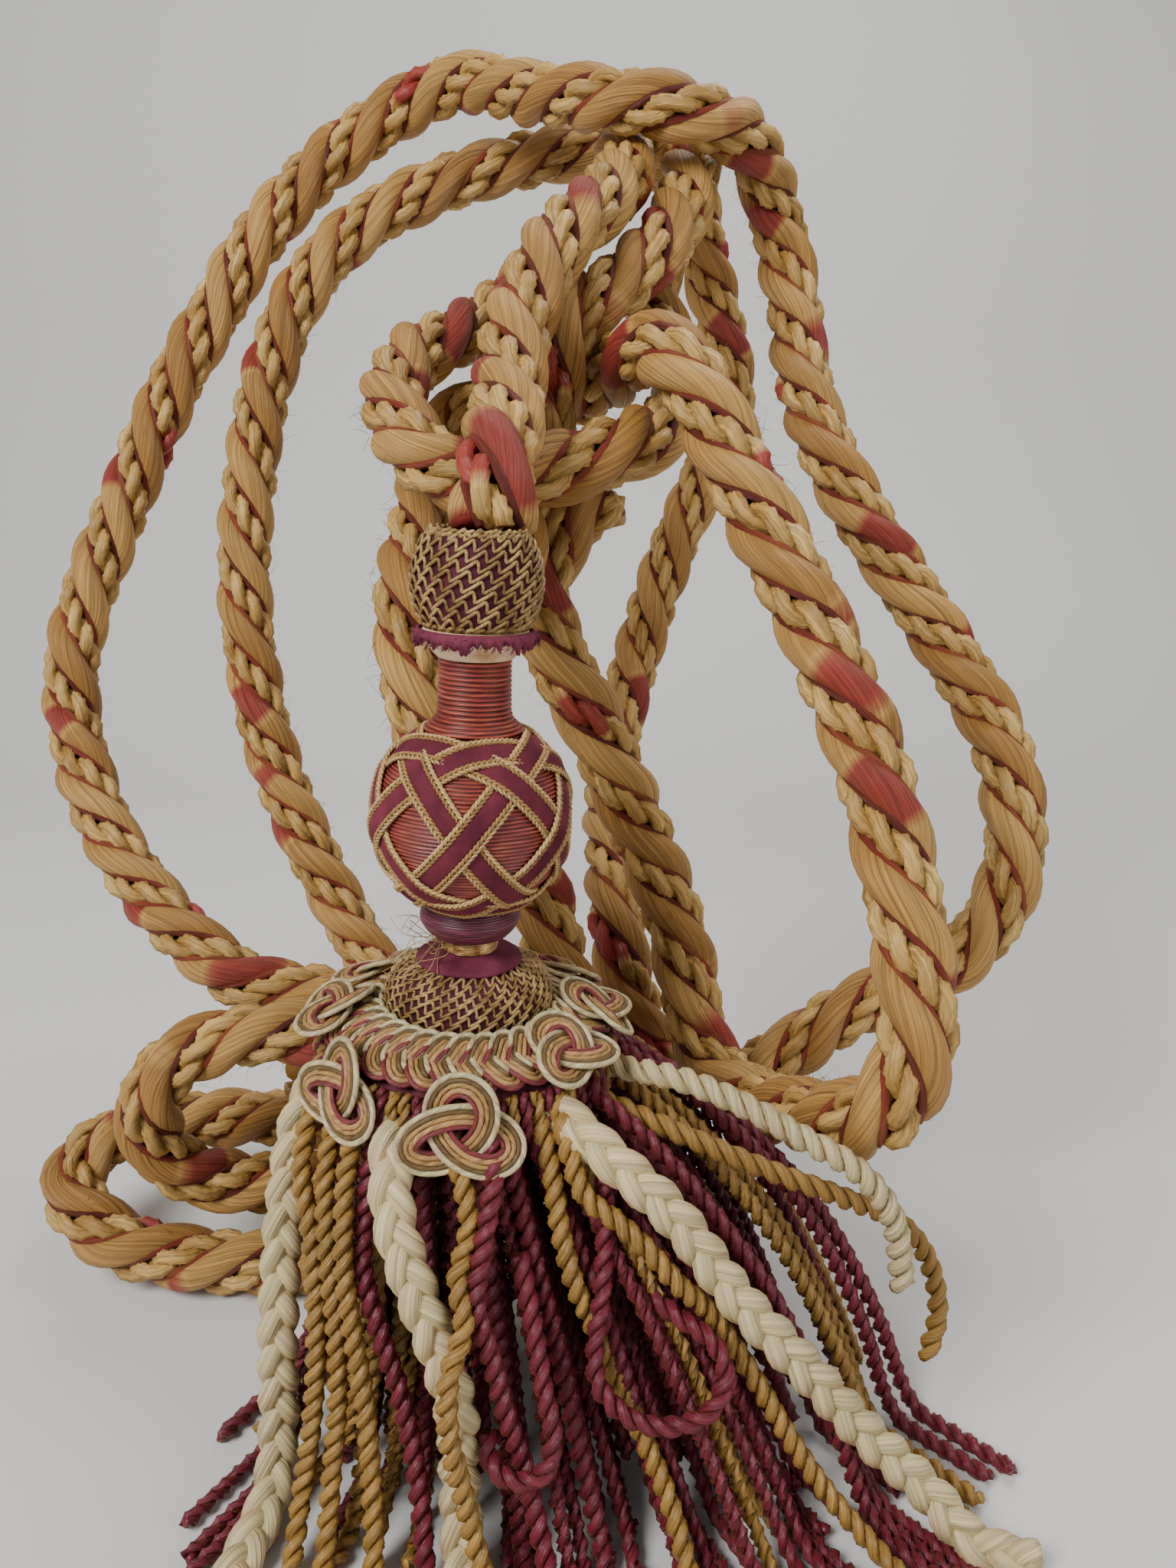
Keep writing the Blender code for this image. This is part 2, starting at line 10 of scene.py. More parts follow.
import bpy
import numpy as np
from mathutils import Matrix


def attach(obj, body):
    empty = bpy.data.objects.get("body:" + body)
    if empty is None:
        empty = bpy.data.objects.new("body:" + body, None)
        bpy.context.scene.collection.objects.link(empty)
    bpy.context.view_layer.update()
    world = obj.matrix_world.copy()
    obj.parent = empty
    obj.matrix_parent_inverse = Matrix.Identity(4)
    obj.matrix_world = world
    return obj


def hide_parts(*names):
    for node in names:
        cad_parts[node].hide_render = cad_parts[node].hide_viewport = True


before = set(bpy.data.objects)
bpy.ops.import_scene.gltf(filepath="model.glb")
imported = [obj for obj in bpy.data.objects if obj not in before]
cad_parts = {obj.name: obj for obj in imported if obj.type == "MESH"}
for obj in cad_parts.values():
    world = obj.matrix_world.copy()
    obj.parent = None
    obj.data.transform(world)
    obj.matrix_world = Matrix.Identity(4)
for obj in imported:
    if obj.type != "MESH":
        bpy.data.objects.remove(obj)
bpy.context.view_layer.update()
MM = 0.001
SURFACE = -502.0


# Studio
# A pale seamless sweep stands for the room. One large soft light hangs high on the left, a weaker
# one fills from the right, one lights from behind, and the camera looks down 15 degrees.
SWEEP_HALF_WIDTH = 25.0


def plain_material(name, colour, roughness):
    """A Principled material; its shader is returned with it."""
    made = bpy.data.materials.new(name)
    made.use_nodes = True
    shader = made.node_tree.nodes["Principled BSDF"]
    shader.inputs["Base Color"].default_value = (*colour, 1.0)
    shader.inputs["Roughness"].default_value = roughness
    made.diffuse_color = (*colour, 1.0)
    return made, shader


def linear(red, green, blue):
    """A screen colour of 0 to 255 a channel as the linear values that shaders take."""
    shares = np.array((red, green, blue)) / 255.0
    return tuple(np.where(shares < 0.04045, shares / 12.92, ((shares + 0.055) / 1.055) ** 2.4))


def sweep_profile():
    """Floor, quarter circle and wall, as (y, z) pairs in metres."""
    turn = np.linspace(0.0, math.pi / 2, 16)
    floor = SURFACE * MM - 0.0005
    bend_y = 0.55 + 0.5 * np.sin(turn)
    bend_z = floor + 0.5 - 0.5 * np.cos(turn)
    return np.vstack([[[-SWEEP_HALF_WIDTH, floor]], np.column_stack([bend_y, bend_z]), [[1.05, 12.0]]])


profile = sweep_profile()
count = len(profile)
left = np.column_stack([np.full(count, -SWEEP_HALF_WIDTH), profile])
right = np.column_stack([np.full(count, SWEEP_HALF_WIDTH), profile])
sweep = bpy.data.meshes.new("sweep")
sweep.from_pydata(np.vstack([left, right]).tolist(), [],
                  [(i, count + i, count + i + 1, i + 1) for i in range(count - 1)])
sweep.shade_smooth()
backdrop = bpy.data.objects.new("sweep", sweep)
paper, _ = plain_material("sweep_paper", linear(216, 214, 210), 0.85)
sweep.materials.append(paper)
bpy.context.collection.objects.link(backdrop)


def soft_light(name, place, target, size, watts):
    """A round area light at a place, turned towards its target."""
    lamp = bpy.data.lights.new(name, "AREA")
    lamp.shape = "DISK"
    lamp.size = size
    lamp.energy = watts
    made = bpy.data.objects.new(name, lamp)
    aim = np.array(target) - np.array(place)
    made.location = place
    pan = math.atan2(aim[0], -aim[1])
    tilt = math.acos(-aim[2] / np.linalg.norm(aim))
    made.rotation_euler = (tilt, 0.0, math.pi + pan)
    bpy.context.collection.objects.link(made)


soft_light("key_light", (-0.75, -1.15, 0.75), (0.0, -0.1, -0.25), 0.8, 29.0)
soft_light("fill_light", (1.3, -1.0, 0.2), (0.0, -0.1, -0.25), 1.2, 7.0)
soft_light("back_light", (0.5, 0.35, 0.9), (0.0, -0.1, -0.2), 0.8, 9.0)
world = bpy.data.worlds.new("room")
world.use_nodes = True
world.node_tree.nodes["Background"].inputs["Color"].default_value = (*linear(226, 228, 232), 1.0)
world.node_tree.nodes["Background"].inputs["Strength"].default_value = 0.42
bpy.context.scene.world = world

CAMERA_PLACE = (58.0, -593.0, -180.0)
CAMERA_DIP = 15.0
PHOTO_HEIGHT = 2048
FOCAL_PIXELS = 1538.0
view = bpy.data.cameras.new("view")
view.sensor_fit = "AUTO"
view.sensor_width = 36.0
view.lens = 36.0 * FOCAL_PIXELS / PHOTO_HEIGHT
view.clip_start = 0.02
viewer = bpy.data.objects.new("view", view)
viewer.location = tuple(value * MM for value in CAMERA_PLACE)
viewer.rotation_euler = (math.radians(90.0 - CAMERA_DIP), 0.0, 0.0)
bpy.context.collection.objects.link(viewer)
bpy.context.scene.camera = viewer


# Rope
# Four plies, each about 11 mm thick, are laid together to the left, one turn in 74 mm. Two plies
# are plain silky yarn and two are cables, two yarns twisted to the right. Lengths of crimson silk
# are wound on here and there. The rope is four cords: three runs and the ring that ties the knot.
ROPE_LAY = 74.0
PLY_CENTRE = 7.5
PLAIN_PLY_RADIUS = 5.7
CORE_RADIUS = 4.6
GROOVE_CENTRE = 8.6
GROOVE_RADIUS = 1.7
CABLE_TWIST = 17.5
YARN_CENTRE = 2.5
YARN_RADIUS = 3.05
# Whole numbers times one of these shares, less whole turns, are spread evenly over a turn
GOLDEN_SHARE = 0.61803
PLASTIC_SHARE = 0.7549
PLASTIC_SQUARE = 0.5698
PLASTIC_REST = 0.3247
GOLDEN_ANGLE = 2.39996

TASSEL_LOOP = (
    (30.3, -239.2, -196.2), (30.5, -238.4, -187.5), (31, -230, -177.5), (32, -212, -168),
    (32, -183, -152), (34, -161, -132), (40, -145, -115), (48, -129, -99), (61, -106, -84),
    (70, -80, -71), (74, -50, -57), (74, -26, -45), (79, -15.5, -38.5), (89.5, -11, -36),
    (100, -15, -39), (104, -24, -45), (102.5, -35, -54), (99, -56, -71), (88, -89, -93),
    (71, -106, -111), (54, -120, -124), (46, -129, -138), (42, -137, -161),
    (37, -144, -177), (32, -153, -192), (31, -165, -205), (30, -186, -213), (28, -205, -214),
    (27, -220.6, -214),
)
LONG_ROPE = (
    (-64, -143, -433), (-53, -129, -436), (-37, -106, -425), (-35, -93, -414), (-53, -73, -391),
    (-83, -55, -335), (-97, -45, -291), (-104, -32, -232), (-100, -17, -175), (-92, -6, -135),
    (-76, 4, -98), (-52, 11, -72), (-26, 15, -57), (2, 16, -47), (31, 16, -40),
    (61, 17, -36), (90, 20, -39), (107, 21, -56), (114, 29, -77), (121, 36, -99),
    (129, 37, -128), (130, 34, -151), (119, 28, -179), (98, 16, -227), (80, -3, -281),
    (70, -35, -315), (68, -65, -335), (69, -97, -352), (71, -124, -375), (76, -135, -396),
    (85, -139, -417), (102, -138, -433), (125, -138, -431), (144, -141, -417), (162, -144, -401),
    (187, -147, -385), (207, -150, -372), (221, -151, -353), (228, -147, -331), (229, -137, -309),
    (226, -119, -285), (214, -106, -262), (199, -96, -238), (176, -87, -204), (160, -74, -174),
    (152, -54, -145), (149, -34, -109), (141, -27, -74), (125, -50, -49), (94, -71, -42),
    (65, -61, -36), (35, -32, -26), (2, -1, -13), (-24, 14, -17), (-55, 18, -34),
    (-78, 16, -53), (-101, 9, -80), (-116, 3, -105), (-131, -4, -130), (-147, -12, -162),
    (-162, -24, -199), (-176, -37, -237), (-182, -50, -269), (-177, -64, -302), (-160, -86, -333),
    (-135, -108, -359), (-105, -129, -378), (-85, -137, -388), (-55, -139, -393), (-32, -139, -400),
    (-10, -136, -419), (-11, -133, -448), (-37, -120, -466), (-67, -120, -463), (-102, -120, -462),
    (-134, -135, -457), (-153, -149, -460), (-157, -163, -469), (-136, -178, -482), (-101, -183, -488.6),
    (-59, -184, -489.2), (-24, -182, -489), (-4, -171, -489.2), (4, -155, -489.2), (-1, -140, -489.2),
    (-16, -133, -489), (-36, -139, -486.5), (-61, -152, -474), (-92, -167, -463),
    (-109, -175, -449), (-114, -182, -422), (-106, -179, -406), (-85, -174, -396), (-61, -173, -393),
    (-44, -172, -395),
)
FRONT_ROPE = (
    (65, -173, -430), (54, -177, -390), (45, -178, -355), (39, -176, -332), (25, -173, -313),
    (6, -169, -290), (-4, -167, -268), (-8, -161, -246), (-10, -153, -230), (-9, -137, -212),
    (-6, -115, -192), (-3, -101, -173), (7, -96, -160), (24, -99, -154), (36, -98, -153),
    (54, -101, -152), (65.5, -113, -146.7), (74.4, -134, -140.6), (85, -162, -141), (97, -175, -157),
    (106, -184, -177), (117, -199, -200), (129, -212, -225), (139, -225, -249), (147, -234, -270),
    (152, -244, -291), (156, -254, -313), (158, -264, -334), (157, -270, -351), (151, -270, -368),
    (142, -254, -383), (130, -224, -398), (119, -198, -408), (108, -178, -406), (101, -167, -393),
    (97, -158, -371), (89, -152, -343), (80, -153, -320), (69, -159, -293), (57, -161, -267),
    (46, -158, -246), (39, -149, -226), (44, -139, -212), (53, -133, -198), (67, -130, -189),
)
KNOT_RING = (
    (50, -44, -95), (33, -57, -105), (19, -72, -118), (4, -94, -130), (-8, -113, -138),
    (-13, -143, -156), (-3, -166, -172), (9, -176, -181), (26, -181, -183), (43, -177, -181),
    (64, -167, -175), (80, -149, -169), (95, -118, -156), (92, -95, -136), (84, -73, -116),
    (85.6, -57.8, -97.8), (91, -33, -86),
)


def smooth_route(route, step):
    """Centripetal curve through the route's points, cut into equal steps."""
    points = np.array(route, dtype=float)
    points = np.vstack([2 * points[0] - points[1], points, 2 * points[-1] - points[-2]])
    pieces = []
    for i in range(1, len(points) - 2):
        p0, p1, p2, p3 = points[i - 1:i + 3]
        t1 = np.linalg.norm(p1 - p0) ** 0.5
        t2 = t1 + np.linalg.norm(p2 - p1) ** 0.5
        t3 = t2 + np.linalg.norm(p3 - p2) ** 0.5
        t = np.linspace(t1, t2, 20, endpoint=False)[:, None]
        a1 = (t1 - t) / t1 * p0 + t / t1 * p1
        a2 = (t2 - t) / (t2 - t1) * p1 + (t - t1) / (t2 - t1) * p2
        a3 = (t3 - t) / (t3 - t2) * p2 + (t - t2) / (t3 - t2) * p3
        b1 = (t2 - t) / t2 * a1 + t / t2 * a2
        b2 = (t3 - t) / (t3 - t1) * a2 + (t - t1) / (t3 - t1) * a3
        pieces.append((t2 - t) / (t2 - t1) * b1 + (t - t1) / (t2 - t1) * b2)
    pieces.append(points[-2][None])
    return even_steps(np.vstack(pieces), step)


def even_steps(curve, step):
    """The same curve with its points a step apart."""
    run = distance_along(curve)
    at = np.linspace(0.0, run[-1], max(2, round(run[-1] / step)) + 1)
    return np.column_stack([np.interp(at, run, curve[:, k]) for k in range(3)])


def distance_along(line):
    """How far each point of a line lies along it."""
    return np.concatenate([[0.0], np.cumsum(np.linalg.norm(np.diff(line, axis=0), axis=1))])


def unit(vectors):
    """Vectors divided by their lengths."""
    return vectors / np.linalg.norm(vectors, axis=-1, keepdims=True)


def square_to(ahead, outward):
    """Two directions square to ahead: outward less its part along ahead, and across both."""
    first = unit(outward - ahead * np.sum(outward * ahead, axis=1, keepdims=True))
    return first, np.cross(ahead, first)


def spun(first, second, angle):
    """The directions first * cos(angle) + second * sin(angle)."""
    return first * np.cos(angle)[:, None] + second * np.sin(angle)[:, None]


def carried_frames(line):
    """A side and an up direction at each point, carried along the line without twist."""
    ahead = unit(np.gradient(line, axis=0))
    side = np.cross(ahead[0], (0.0, 0.0, 1.0))
    if np.linalg.norm(side) < 0.1:
        side = np.cross(ahead[0], (0.0, 1.0, 0.0))
    sides = []
    for direction in ahead:
        side = unit(side - direction * np.dot(side, direction))
        sides.append(side)
    sides = np.array(sides)
    return sides, np.cross(ahead, sides)


def headings(line, closed):
    """The direction of a line at each point; a closed line goes on from its end to its start."""
    if closed:
        return unit(np.roll(line, -1, axis=0) - np.roll(line, 1, axis=0))
    return unit(np.gradient(line, axis=0))


def bar(line, outward, radii, sides, closed=False):
    """Rings of a bar along a line: at each point, radius times a turn of the circle that starts on
    the side away from outward, so that the seam is hidden."""
    ahead = headings(line, closed)
    first, second = square_to(ahead, outward)
    angle = math.pi + 2 * math.pi * np.arange(sides) / sides
    spokes = first[:, None] * np.cos(angle)[None, :, None] + second[:, None] * np.sin(angle)[None, :, None]
    radii = np.broadcast_to(np.asarray(radii, dtype=float), (len(line), sides))
    return line[:, None] + spokes * radii[:, :, None]


def strand(rings, run=None, dye_and_gap_shade=0.0, closed=False):
    """One strand for strand_mesh: its rings, the distance of each ring along the yarn in mm, how much of
    the second colour each ring takes (on the wound thread, how much painted shade it takes in the gaps
    between turns), and whether its ends meet."""
    if run is None:
        run = distance_along(rings.mean(axis=1))
    return rings, run, np.broadcast_to(np.asarray(dye_and_gap_shade, dtype=float), (len(rings),)), closed


def strand_mesh(name, strands, surface):
    """One object of closed strands. Its UV map holds the distance along in mm and the share of the way
    round. A float attribute holds the share of the second colour, which on the wound thread is the painted
    shade in the gaps between turns."""
    points, quads, caps, corner_u, corner_v, cap_uv, dyes = [], [], [], [], [], [], []
    start = 0
    for rings, run, dye_and_gap_shade, closed in strands:
        count, sides = rings.shape[:2]
        index = start + np.arange(count * sides).reshape(count, sides)
        low = index if closed else index[:-1]
        high = np.roll(index, -1, axis=0) if closed else index[1:]
        quads.append(np.stack([low, np.roll(low, -1, axis=1), np.roll(high, -1, axis=1), high], axis=-1))
        step = run[-1] - run[-2]
        low_run = run if closed else run[:-1]
        high_run = np.append(run[1:], run[-1] + step) if closed else run[1:]
        ends = np.stack([low_run, low_run, high_run, high_run], axis=-1)
        corner_u.append(np.repeat(ends, sides, axis=0).reshape(-1))
        share = np.arange(sides) / sides
        around = np.stack([share, share + 1 / sides, share + 1 / sides, share], axis=-1)
        corner_v.append(np.tile(around.reshape(-1), len(low_run)))
        if not closed:
            caps.extend([index[0][::-1].tolist(), index[-1].tolist()])
            cap_uv.extend([(run[0], 0.5)] * sides + [(run[-1], 0.5)] * sides)
        dyes.append(np.repeat(dye_and_gap_shade, sides))
        points.append(rings.reshape(-1, 3))
        start += count * sides
    faces = np.vstack([grid.reshape(-1, 4) for grid in quads]).tolist() + caps
    mesh = bpy.data.meshes.new(name)
    mesh.from_pydata((np.vstack(points) * MM).tolist(), [], faces)
    uv = np.column_stack([np.concatenate(corner_u), np.concatenate(corner_v)])
    if cap_uv:
        uv = np.vstack([uv, cap_uv])
    mesh.uv_layers.new(name="yarn").data.foreach_set("uv", uv.reshape(-1))
    mesh.attributes.new("dye_and_gap_shade", "FLOAT", "POINT").data.foreach_set("value", np.concatenate(dyes))
    mesh.materials.append(surface)
    mesh.shade_smooth()
    made = bpy.data.objects.new(name, mesh)
    bpy.context.collection.objects.link(made)
    return made


def set_inputs(tree, node, inputs):
    """Set each input of a node to its number or colour, or link it to its node or socket."""
    for key, value in inputs.items():
        if isinstance(value, bpy.types.Node):
            value = value.outputs[0]
        if isinstance(value, bpy.types.NodeSocket):
            tree.links.new(value, node.inputs[key])
        else:
            node.inputs[key].default_value = value


def add_node(tree, kind, inputs=None, **settings):
    """A new shader node with its settings and inputs."""
    made = tree.nodes.new("ShaderNode" + kind)
    for key, value in settings.items():
        setattr(made, key, value)
    set_inputs(tree, made, inputs or {})
    return made


def colour_ramp(tree, share, stops):
    """A colour for each share, read between (position, colour) stops."""
    made = add_node(tree, "ValToRGB", {"Fac": share})
    elements = made.color_ramp.elements
    while len(elements) < len(stops):
        elements.new(1.0)
    for element, (position, colour) in zip(elements, stops):
        element.position = position
        element.color = (*colour, 1.0)
    return made


def fibre_group():
    """Fine fibres that run along a yarn and lean round it: noise at (Along * u, Around * (v + Lean * u))
    on the yarn UV map. Height is the fine noise and Tone is 0.45 of it with 0.55 of a broader one."""
    group = bpy.data.node_groups.new("fibres", "ShaderNodeTree")
    for name, start in (("Along", 0.08), ("Around", 30.0), ("Lean", 0.05)):
        socket = group.interface.new_socket(name, in_out="INPUT", socket_type="NodeSocketFloat")
        socket.default_value = start
    for name in ("Height", "Tone"):
        group.interface.new_socket(name, in_out="OUTPUT", socket_type="NodeSocketFloat")
    given = group.nodes.new("NodeGroupInput").outputs
    result = group.nodes.new("NodeGroupOutput")
    place = add_node(group, "SeparateXYZ", {0: add_node(group, "UVMap", uv_map="yarn")}).outputs
    along = add_node(group, "Math", {0: place["X"], 1: given["Along"]}, operation="MULTIPLY")
    lean = add_node(group, "Math", {0: place["X"], 1: given["Lean"]}, operation="MULTIPLY")
    turned_by = add_node(group, "Math", {0: place["Y"], 1: lean})
    across = add_node(group, "Math", {0: turned_by, 1: given["Around"]}, operation="MULTIPLY")
    spot = add_node(group, "CombineXYZ", {"X": along, "Y": across})
    fine = add_node(group, "TexNoise", {"Vector": spot, "Scale": 1.0, "Detail": 3.0, "Roughness": 0.6})
    broad = add_node(group, "TexNoise", {"Vector": spot, "Scale": 0.35, "Detail": 2.0})
    part = add_node(group, "Math", {0: fine, 1: 0.45}, operation="MULTIPLY")
    both = add_node(group, "Math", {0: broad, 1: 0.55, 2: part}, operation="MULTIPLY_ADD")
    set_inputs(group, result, {"Height": fine, "Tone": both})
    return group


FIBRES = fibre_group()


def yarn_material(name, stops, along, around, lean, roughness, bump, sheen=0.3, shade=(0.45, 1.25)):
    """Silky yarn. stops are (dye, colour) pairs; fibres darken and lighten the colour by shade."""
    made, shader = plain_material(name, stops[0][1], roughness)
    tree = made.node_tree
    fibres = add_node(tree, "Group", {"Along": along, "Around": around, "Lean": lean}, node_tree=FIBRES)
    dye_and_gap_shade = add_node(tree, "Attribute", attribute_name="dye_and_gap_shade").outputs["Fac"]
    level = add_node(tree, "MapRange", {"Value": fibres.outputs["Tone"], "From Min": 0.36, "From Max": 0.64,
                                        "To Min": shade[0], "To Max": shade[1]})
    toned = add_node(tree, "VectorMath", {0: colour_ramp(tree, dye_and_gap_shade, stops), "Scale": level},
                     operation="SCALE")
    relief = add_node(tree, "Bump", {"Strength": 1.0, "Distance": bump * MM,
                                     "Height": fibres.outputs["Height"]})
    set_inputs(tree, shader, {"Base Color": toned, "Normal": relief, "Sheen Weight": sheen,
                              "Sheen Roughness": 0.4, "Sheen Tint": (*stops[0][1], 1.0),
                              "Specular IOR Level": 0.4})
    return made


CRIMSON_STOPS = [(0.75, linear(154, 56, 46)), (1.0, linear(92, 32, 32))]
ROPE_GOLDS = [(0.0, linear(164, 118, 56)), (0.35, linear(194, 150, 82))]
CABLE_GOLDS = [(0.0, linear(164, 122, 58)), (0.35, linear(206, 168, 98))]
ROPE_SHADE = (0.5, 1.45)
rope_yarn = yarn_material("rope_yarn", ROPE_GOLDS + CRIMSON_STOPS, 0.032, 88.0, -0.023, 0.5, 1.0,
                          shade=ROPE_SHADE)
cable_yarn = yarn_material("cable_yarn", CABLE_GOLDS + CRIMSON_STOPS, 0.07, 34.0, 0.05, 0.36, 0.6,
                           shade=ROPE_SHADE)


def wound_round(path, angle, distance):
    """The path moved off its centre by distance at an angle, and the direction it moved in."""
    spoke = spun(*carried_frames(path), angle)
    return path + spoke * distance, spoke


def bands(run, seed, bare):
    """Where crimson silk is wound on a ply, in spells 10 to 25 mm long that are sharp at both ends:
    three sines of the run, where they pass bare. The higher it is, the further apart the spells."""
    wave = np.sin(run / 13.0 + seed) + np.sin(run / 8.3 + 2.1 * seed)
    wave += 0.8 * np.sin(run / 37.0 + 3.7 * seed)
    return np.clip((wave - bare) * 6, 0, 1)


def laid_ply(path, run, phase, ply, distance):
    """The centre of what runs along the rope at a quarter turn times ply, laid to the left."""
    return wound_round(path, phase + ply * math.pi / 2 - 2 * math.pi * run / ROPE_LAY, distance)


def smooth_plies(line, phase, bare):
    """Two round plies, core and groove threads of a rope along its centre line."""
    made = []
    path = even_steps(line, 3.8)
    run = distance_along(path)
    for ply in (0, 2):
        centre, spoke = laid_ply(path, run, phase, ply, PLY_CENTRE)
        swell = 1 + 0.04 * np.sin(run / 9.0 + 2 * phase + ply) + 0.02 * np.sin(run / 3.7 + phase)
        red = bands(run, 1.9 * ply + 5 * phase, bare)
        pale = 0.17 + 0.17 * np.sin(run / 26.0 + ply + 2 * phase)
        radii = np.repeat((PLAIN_PLY_RADIUS * swell * (1 - 0.05 * red))[:, None], 14, axis=1)
        made.append(strand(bar(centre, spoke, radii, 14), run, np.where(red > 0.05, 0.4 + 0.4 * red, pale)))
    path = even_steps(line, 5.0)
    run = distance_along(path)
    made.append(strand(bar(path, carried_frames(path)[0], CORE_RADIUS, 6), None, 1.0))
    for groove in range(4):
        centre, spoke = laid_ply(path, run, phase, groove + 0.5, GROOVE_CENTRE)
        dye_and_gap_shade = 0.82 + 0.13 * np.sin(run / 11.0 + groove)
        made.append(strand(bar(centre, spoke, GROOVE_RADIUS, 4), run, dye_and_gap_shade))
    return made


def cable_plies(line, phase, bare):
    """The two other plies, each of two yarns twisted hard the other way, so that they look beaded."""
    made = []
    path = even_steps(line, 2.6)
    run = distance_along(path)
    for ply in (1, 3):
        centre, spoke = laid_ply(path, run, phase, ply, PLY_CENTRE)
        ahead = unit(np.gradient(centre, axis=0))
        first, second = square_to(ahead, spoke)
        pale = 0.2 + 0.15 * np.sin(run / 19.0 + 2 * ply + phase) * np.sin(run / 5.0)
        red = bands(run, 4.4 * ply + 3 * phase, bare + 0.2) * (np.sin(run / 90.0 + ply) > 0.2)
        dye_and_gap_shade = np.where(red > 0.5, 0.75, pale)
        for yarn in range(2):
            angle = 2 * math.pi * (yarn / 2 + run / CABLE_TWIST)
            lean = spun(first, second, angle)
            made.append(strand(bar(centre + lean * YARN_CENTRE, lean, YARN_RADIUS, 7), run, dye_and_gap_shade))
    return made


def make_rope(node, route, phase, bare=1.45):
    line = smooth_route(route, 2.0)
    beaded = strand_mesh(node + "_cable", cable_plies(line, phase, bare), cable_yarn)
    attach(beaded, "root")
    made = strand_mesh(node + "_plies", smooth_plies(line, phase, bare), rope_yarn)
    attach(made, "root")
    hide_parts(node)


make_rope("tassel_loop", TASSEL_LOOP, 0.4, 0.55)
make_rope("long_rope", LONG_ROPE, 1.1)
make_rope("front_rope", FRONT_ROPE, 0.2)
make_rope("knot_ring", KNOT_RING, 0.9, 0.8)


def stray_hairs(line, count, seed, reach, lift=12.2):
    """Loose hairs on a rope: hair k starts at the golden share of k along the line and k golden
    angles round it, and bends away: start + length * (t * out + t * t * bend)."""
    side, up = carried_frames(line)
    ahead = unit(np.gradient(line, axis=0))
    t = np.linspace(0.0, 1.0, 4)[:, None]
    radii = np.repeat(np.array([0.10, 0.09, 0.07, 0.03])[:, None], 3, axis=1)
    hairs = []
    for k in range(count):
        spot = int(((k * GOLDEN_SHARE + seed) % 1.0) ** reach * (len(line) - 1))
        angle = GOLDEN_ANGLE * k
        out = side[spot] * math.cos(angle) + up[spot] * math.sin(angle)
        around = np.cross(ahead[spot], out)
        length = 3.0 + 5.0 * ((k * PLASTIC_REST + seed) % 1.0)
        way = out * 0.55 + ahead[spot] * math.sin(5.1 * k) * 0.8 + around * math.cos(3.7 * k) * 0.5
        bend = ahead[spot] * math.cos(2.3 * k) * 0.45 + out * math.sin(1.9 * k) * 0.3
        path = line[spot] + out * lift + length * (t * way + t * t * bend)
        face = np.broadcast_to(np.cross(way, bend) + around * 0.1, path.shape)
        hairs.append(strand(bar(path, face, radii, 3), None, 0.35 if k % 5 else 0.75))
    return hairs


stray = []
for route, count, seed, reach in ((LONG_ROPE, 520, 0.13, 1.0), (FRONT_ROPE, 420, 0.37, 0.7),
                                  (TASSEL_LOOP, 90, 0.71, 1.0), (KNOT_RING, 90, 0.29, 1.0)):
    stray.extend(stray_hairs(smooth_route(route, 2.0), count, seed, reach))
fuzz = strand_mesh("stray_fibres", stray, rope_yarn)
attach(fuzz, "root")


# Bead
# A turned wooden bead under purple velvet, in a knotted gold silk net. The velvet is torn at its
# foot, where the bare wood shows. The tassel leans a little to the right at its top.
AXIS_X = 22.0
AXIS_Y = -242.0
LEAN = math.radians(2.6)
BALL_CENTRE = -284.0
BEAD_TOP = -197.5
BEAD_FOOT = -225.5
COLLAR_FOOT = -234.5


def hung(points):
    """Points of the upright tassel, given from its axis, moved to where the tassel hangs."""
    points = np.asarray(points, dtype=float)
    x, y, rise = points[..., 0], points[..., 1], points[..., 2] - BALL_CENTRE
    return np.stack([AXIS_X + x * math.cos(LEAN) + rise * math.sin(LEAN), AXIS_Y + y,
                     BALL_CENTRE + rise * math.cos(LEAN) - x * math.sin(LEAN)], axis=-1)


def bearing_axes(bearing):
    """The level directions out from the axis and round it, at a bearing."""
    out = np.array((math.cos(bearing), math.sin(bearing), 0.0))
    return out, np.array((-math.sin(bearing), math.cos(bearing), 0.0))


def turned(name, outline, sides, surface, ripple=None):
    """A closed solid turned on the tassel's axis from (radius, height) pairs, top to bottom. A third number
    in each pair is stored on its ring for the material; on the wound thread it marks the gaps between
    turns, where shade is painted. ripple(angle, height) adds to the radius."""
    outline = np.array(outline, dtype=float)
    dye_and_gap_shade = outline[:, 2] if outline.shape[1] > 2 else 0.0
    outline = outline[:, :2]
    angle = 2 * math.pi * np.arange(sides) / sides
    radius = outline[:, :1] + (ripple(angle[None], outline[:, 1:]) if ripple else 0.0)
    radius = np.broadcast_to(radius, (len(outline), sides))
    height = np.broadcast_to(outline[:, 1:], radius.shape)
    rings = np.stack([radius * np.cos(angle), radius * np.sin(angle), height], axis=-1)
    run = np.concatenate([[0.0], np.cumsum(np.linalg.norm(np.diff(outline, axis=0), axis=1))])
    return strand_mesh(name, [strand(hung(rings[:, ::-1]), run, dye_and_gap_shade)], surface)


def bulged(top, foot, top_radius, wide_radius, foot_radius, rows, fullness=1.0):
    """An outline that bulges between two heights like half a sine to the power of fullness."""
    share = np.linspace(0.0, 1.0, rows + 1)
    straight = top_radius + (foot_radius - top_radius) * share
    bulge = wide_radius - (top_radius + foot_radius) / 2
    wave = np.maximum(np.sin(math.pi * share), 0.0) ** fullness
    return np.column_stack([straight + bulge * wave, top + (foot - top) * share])


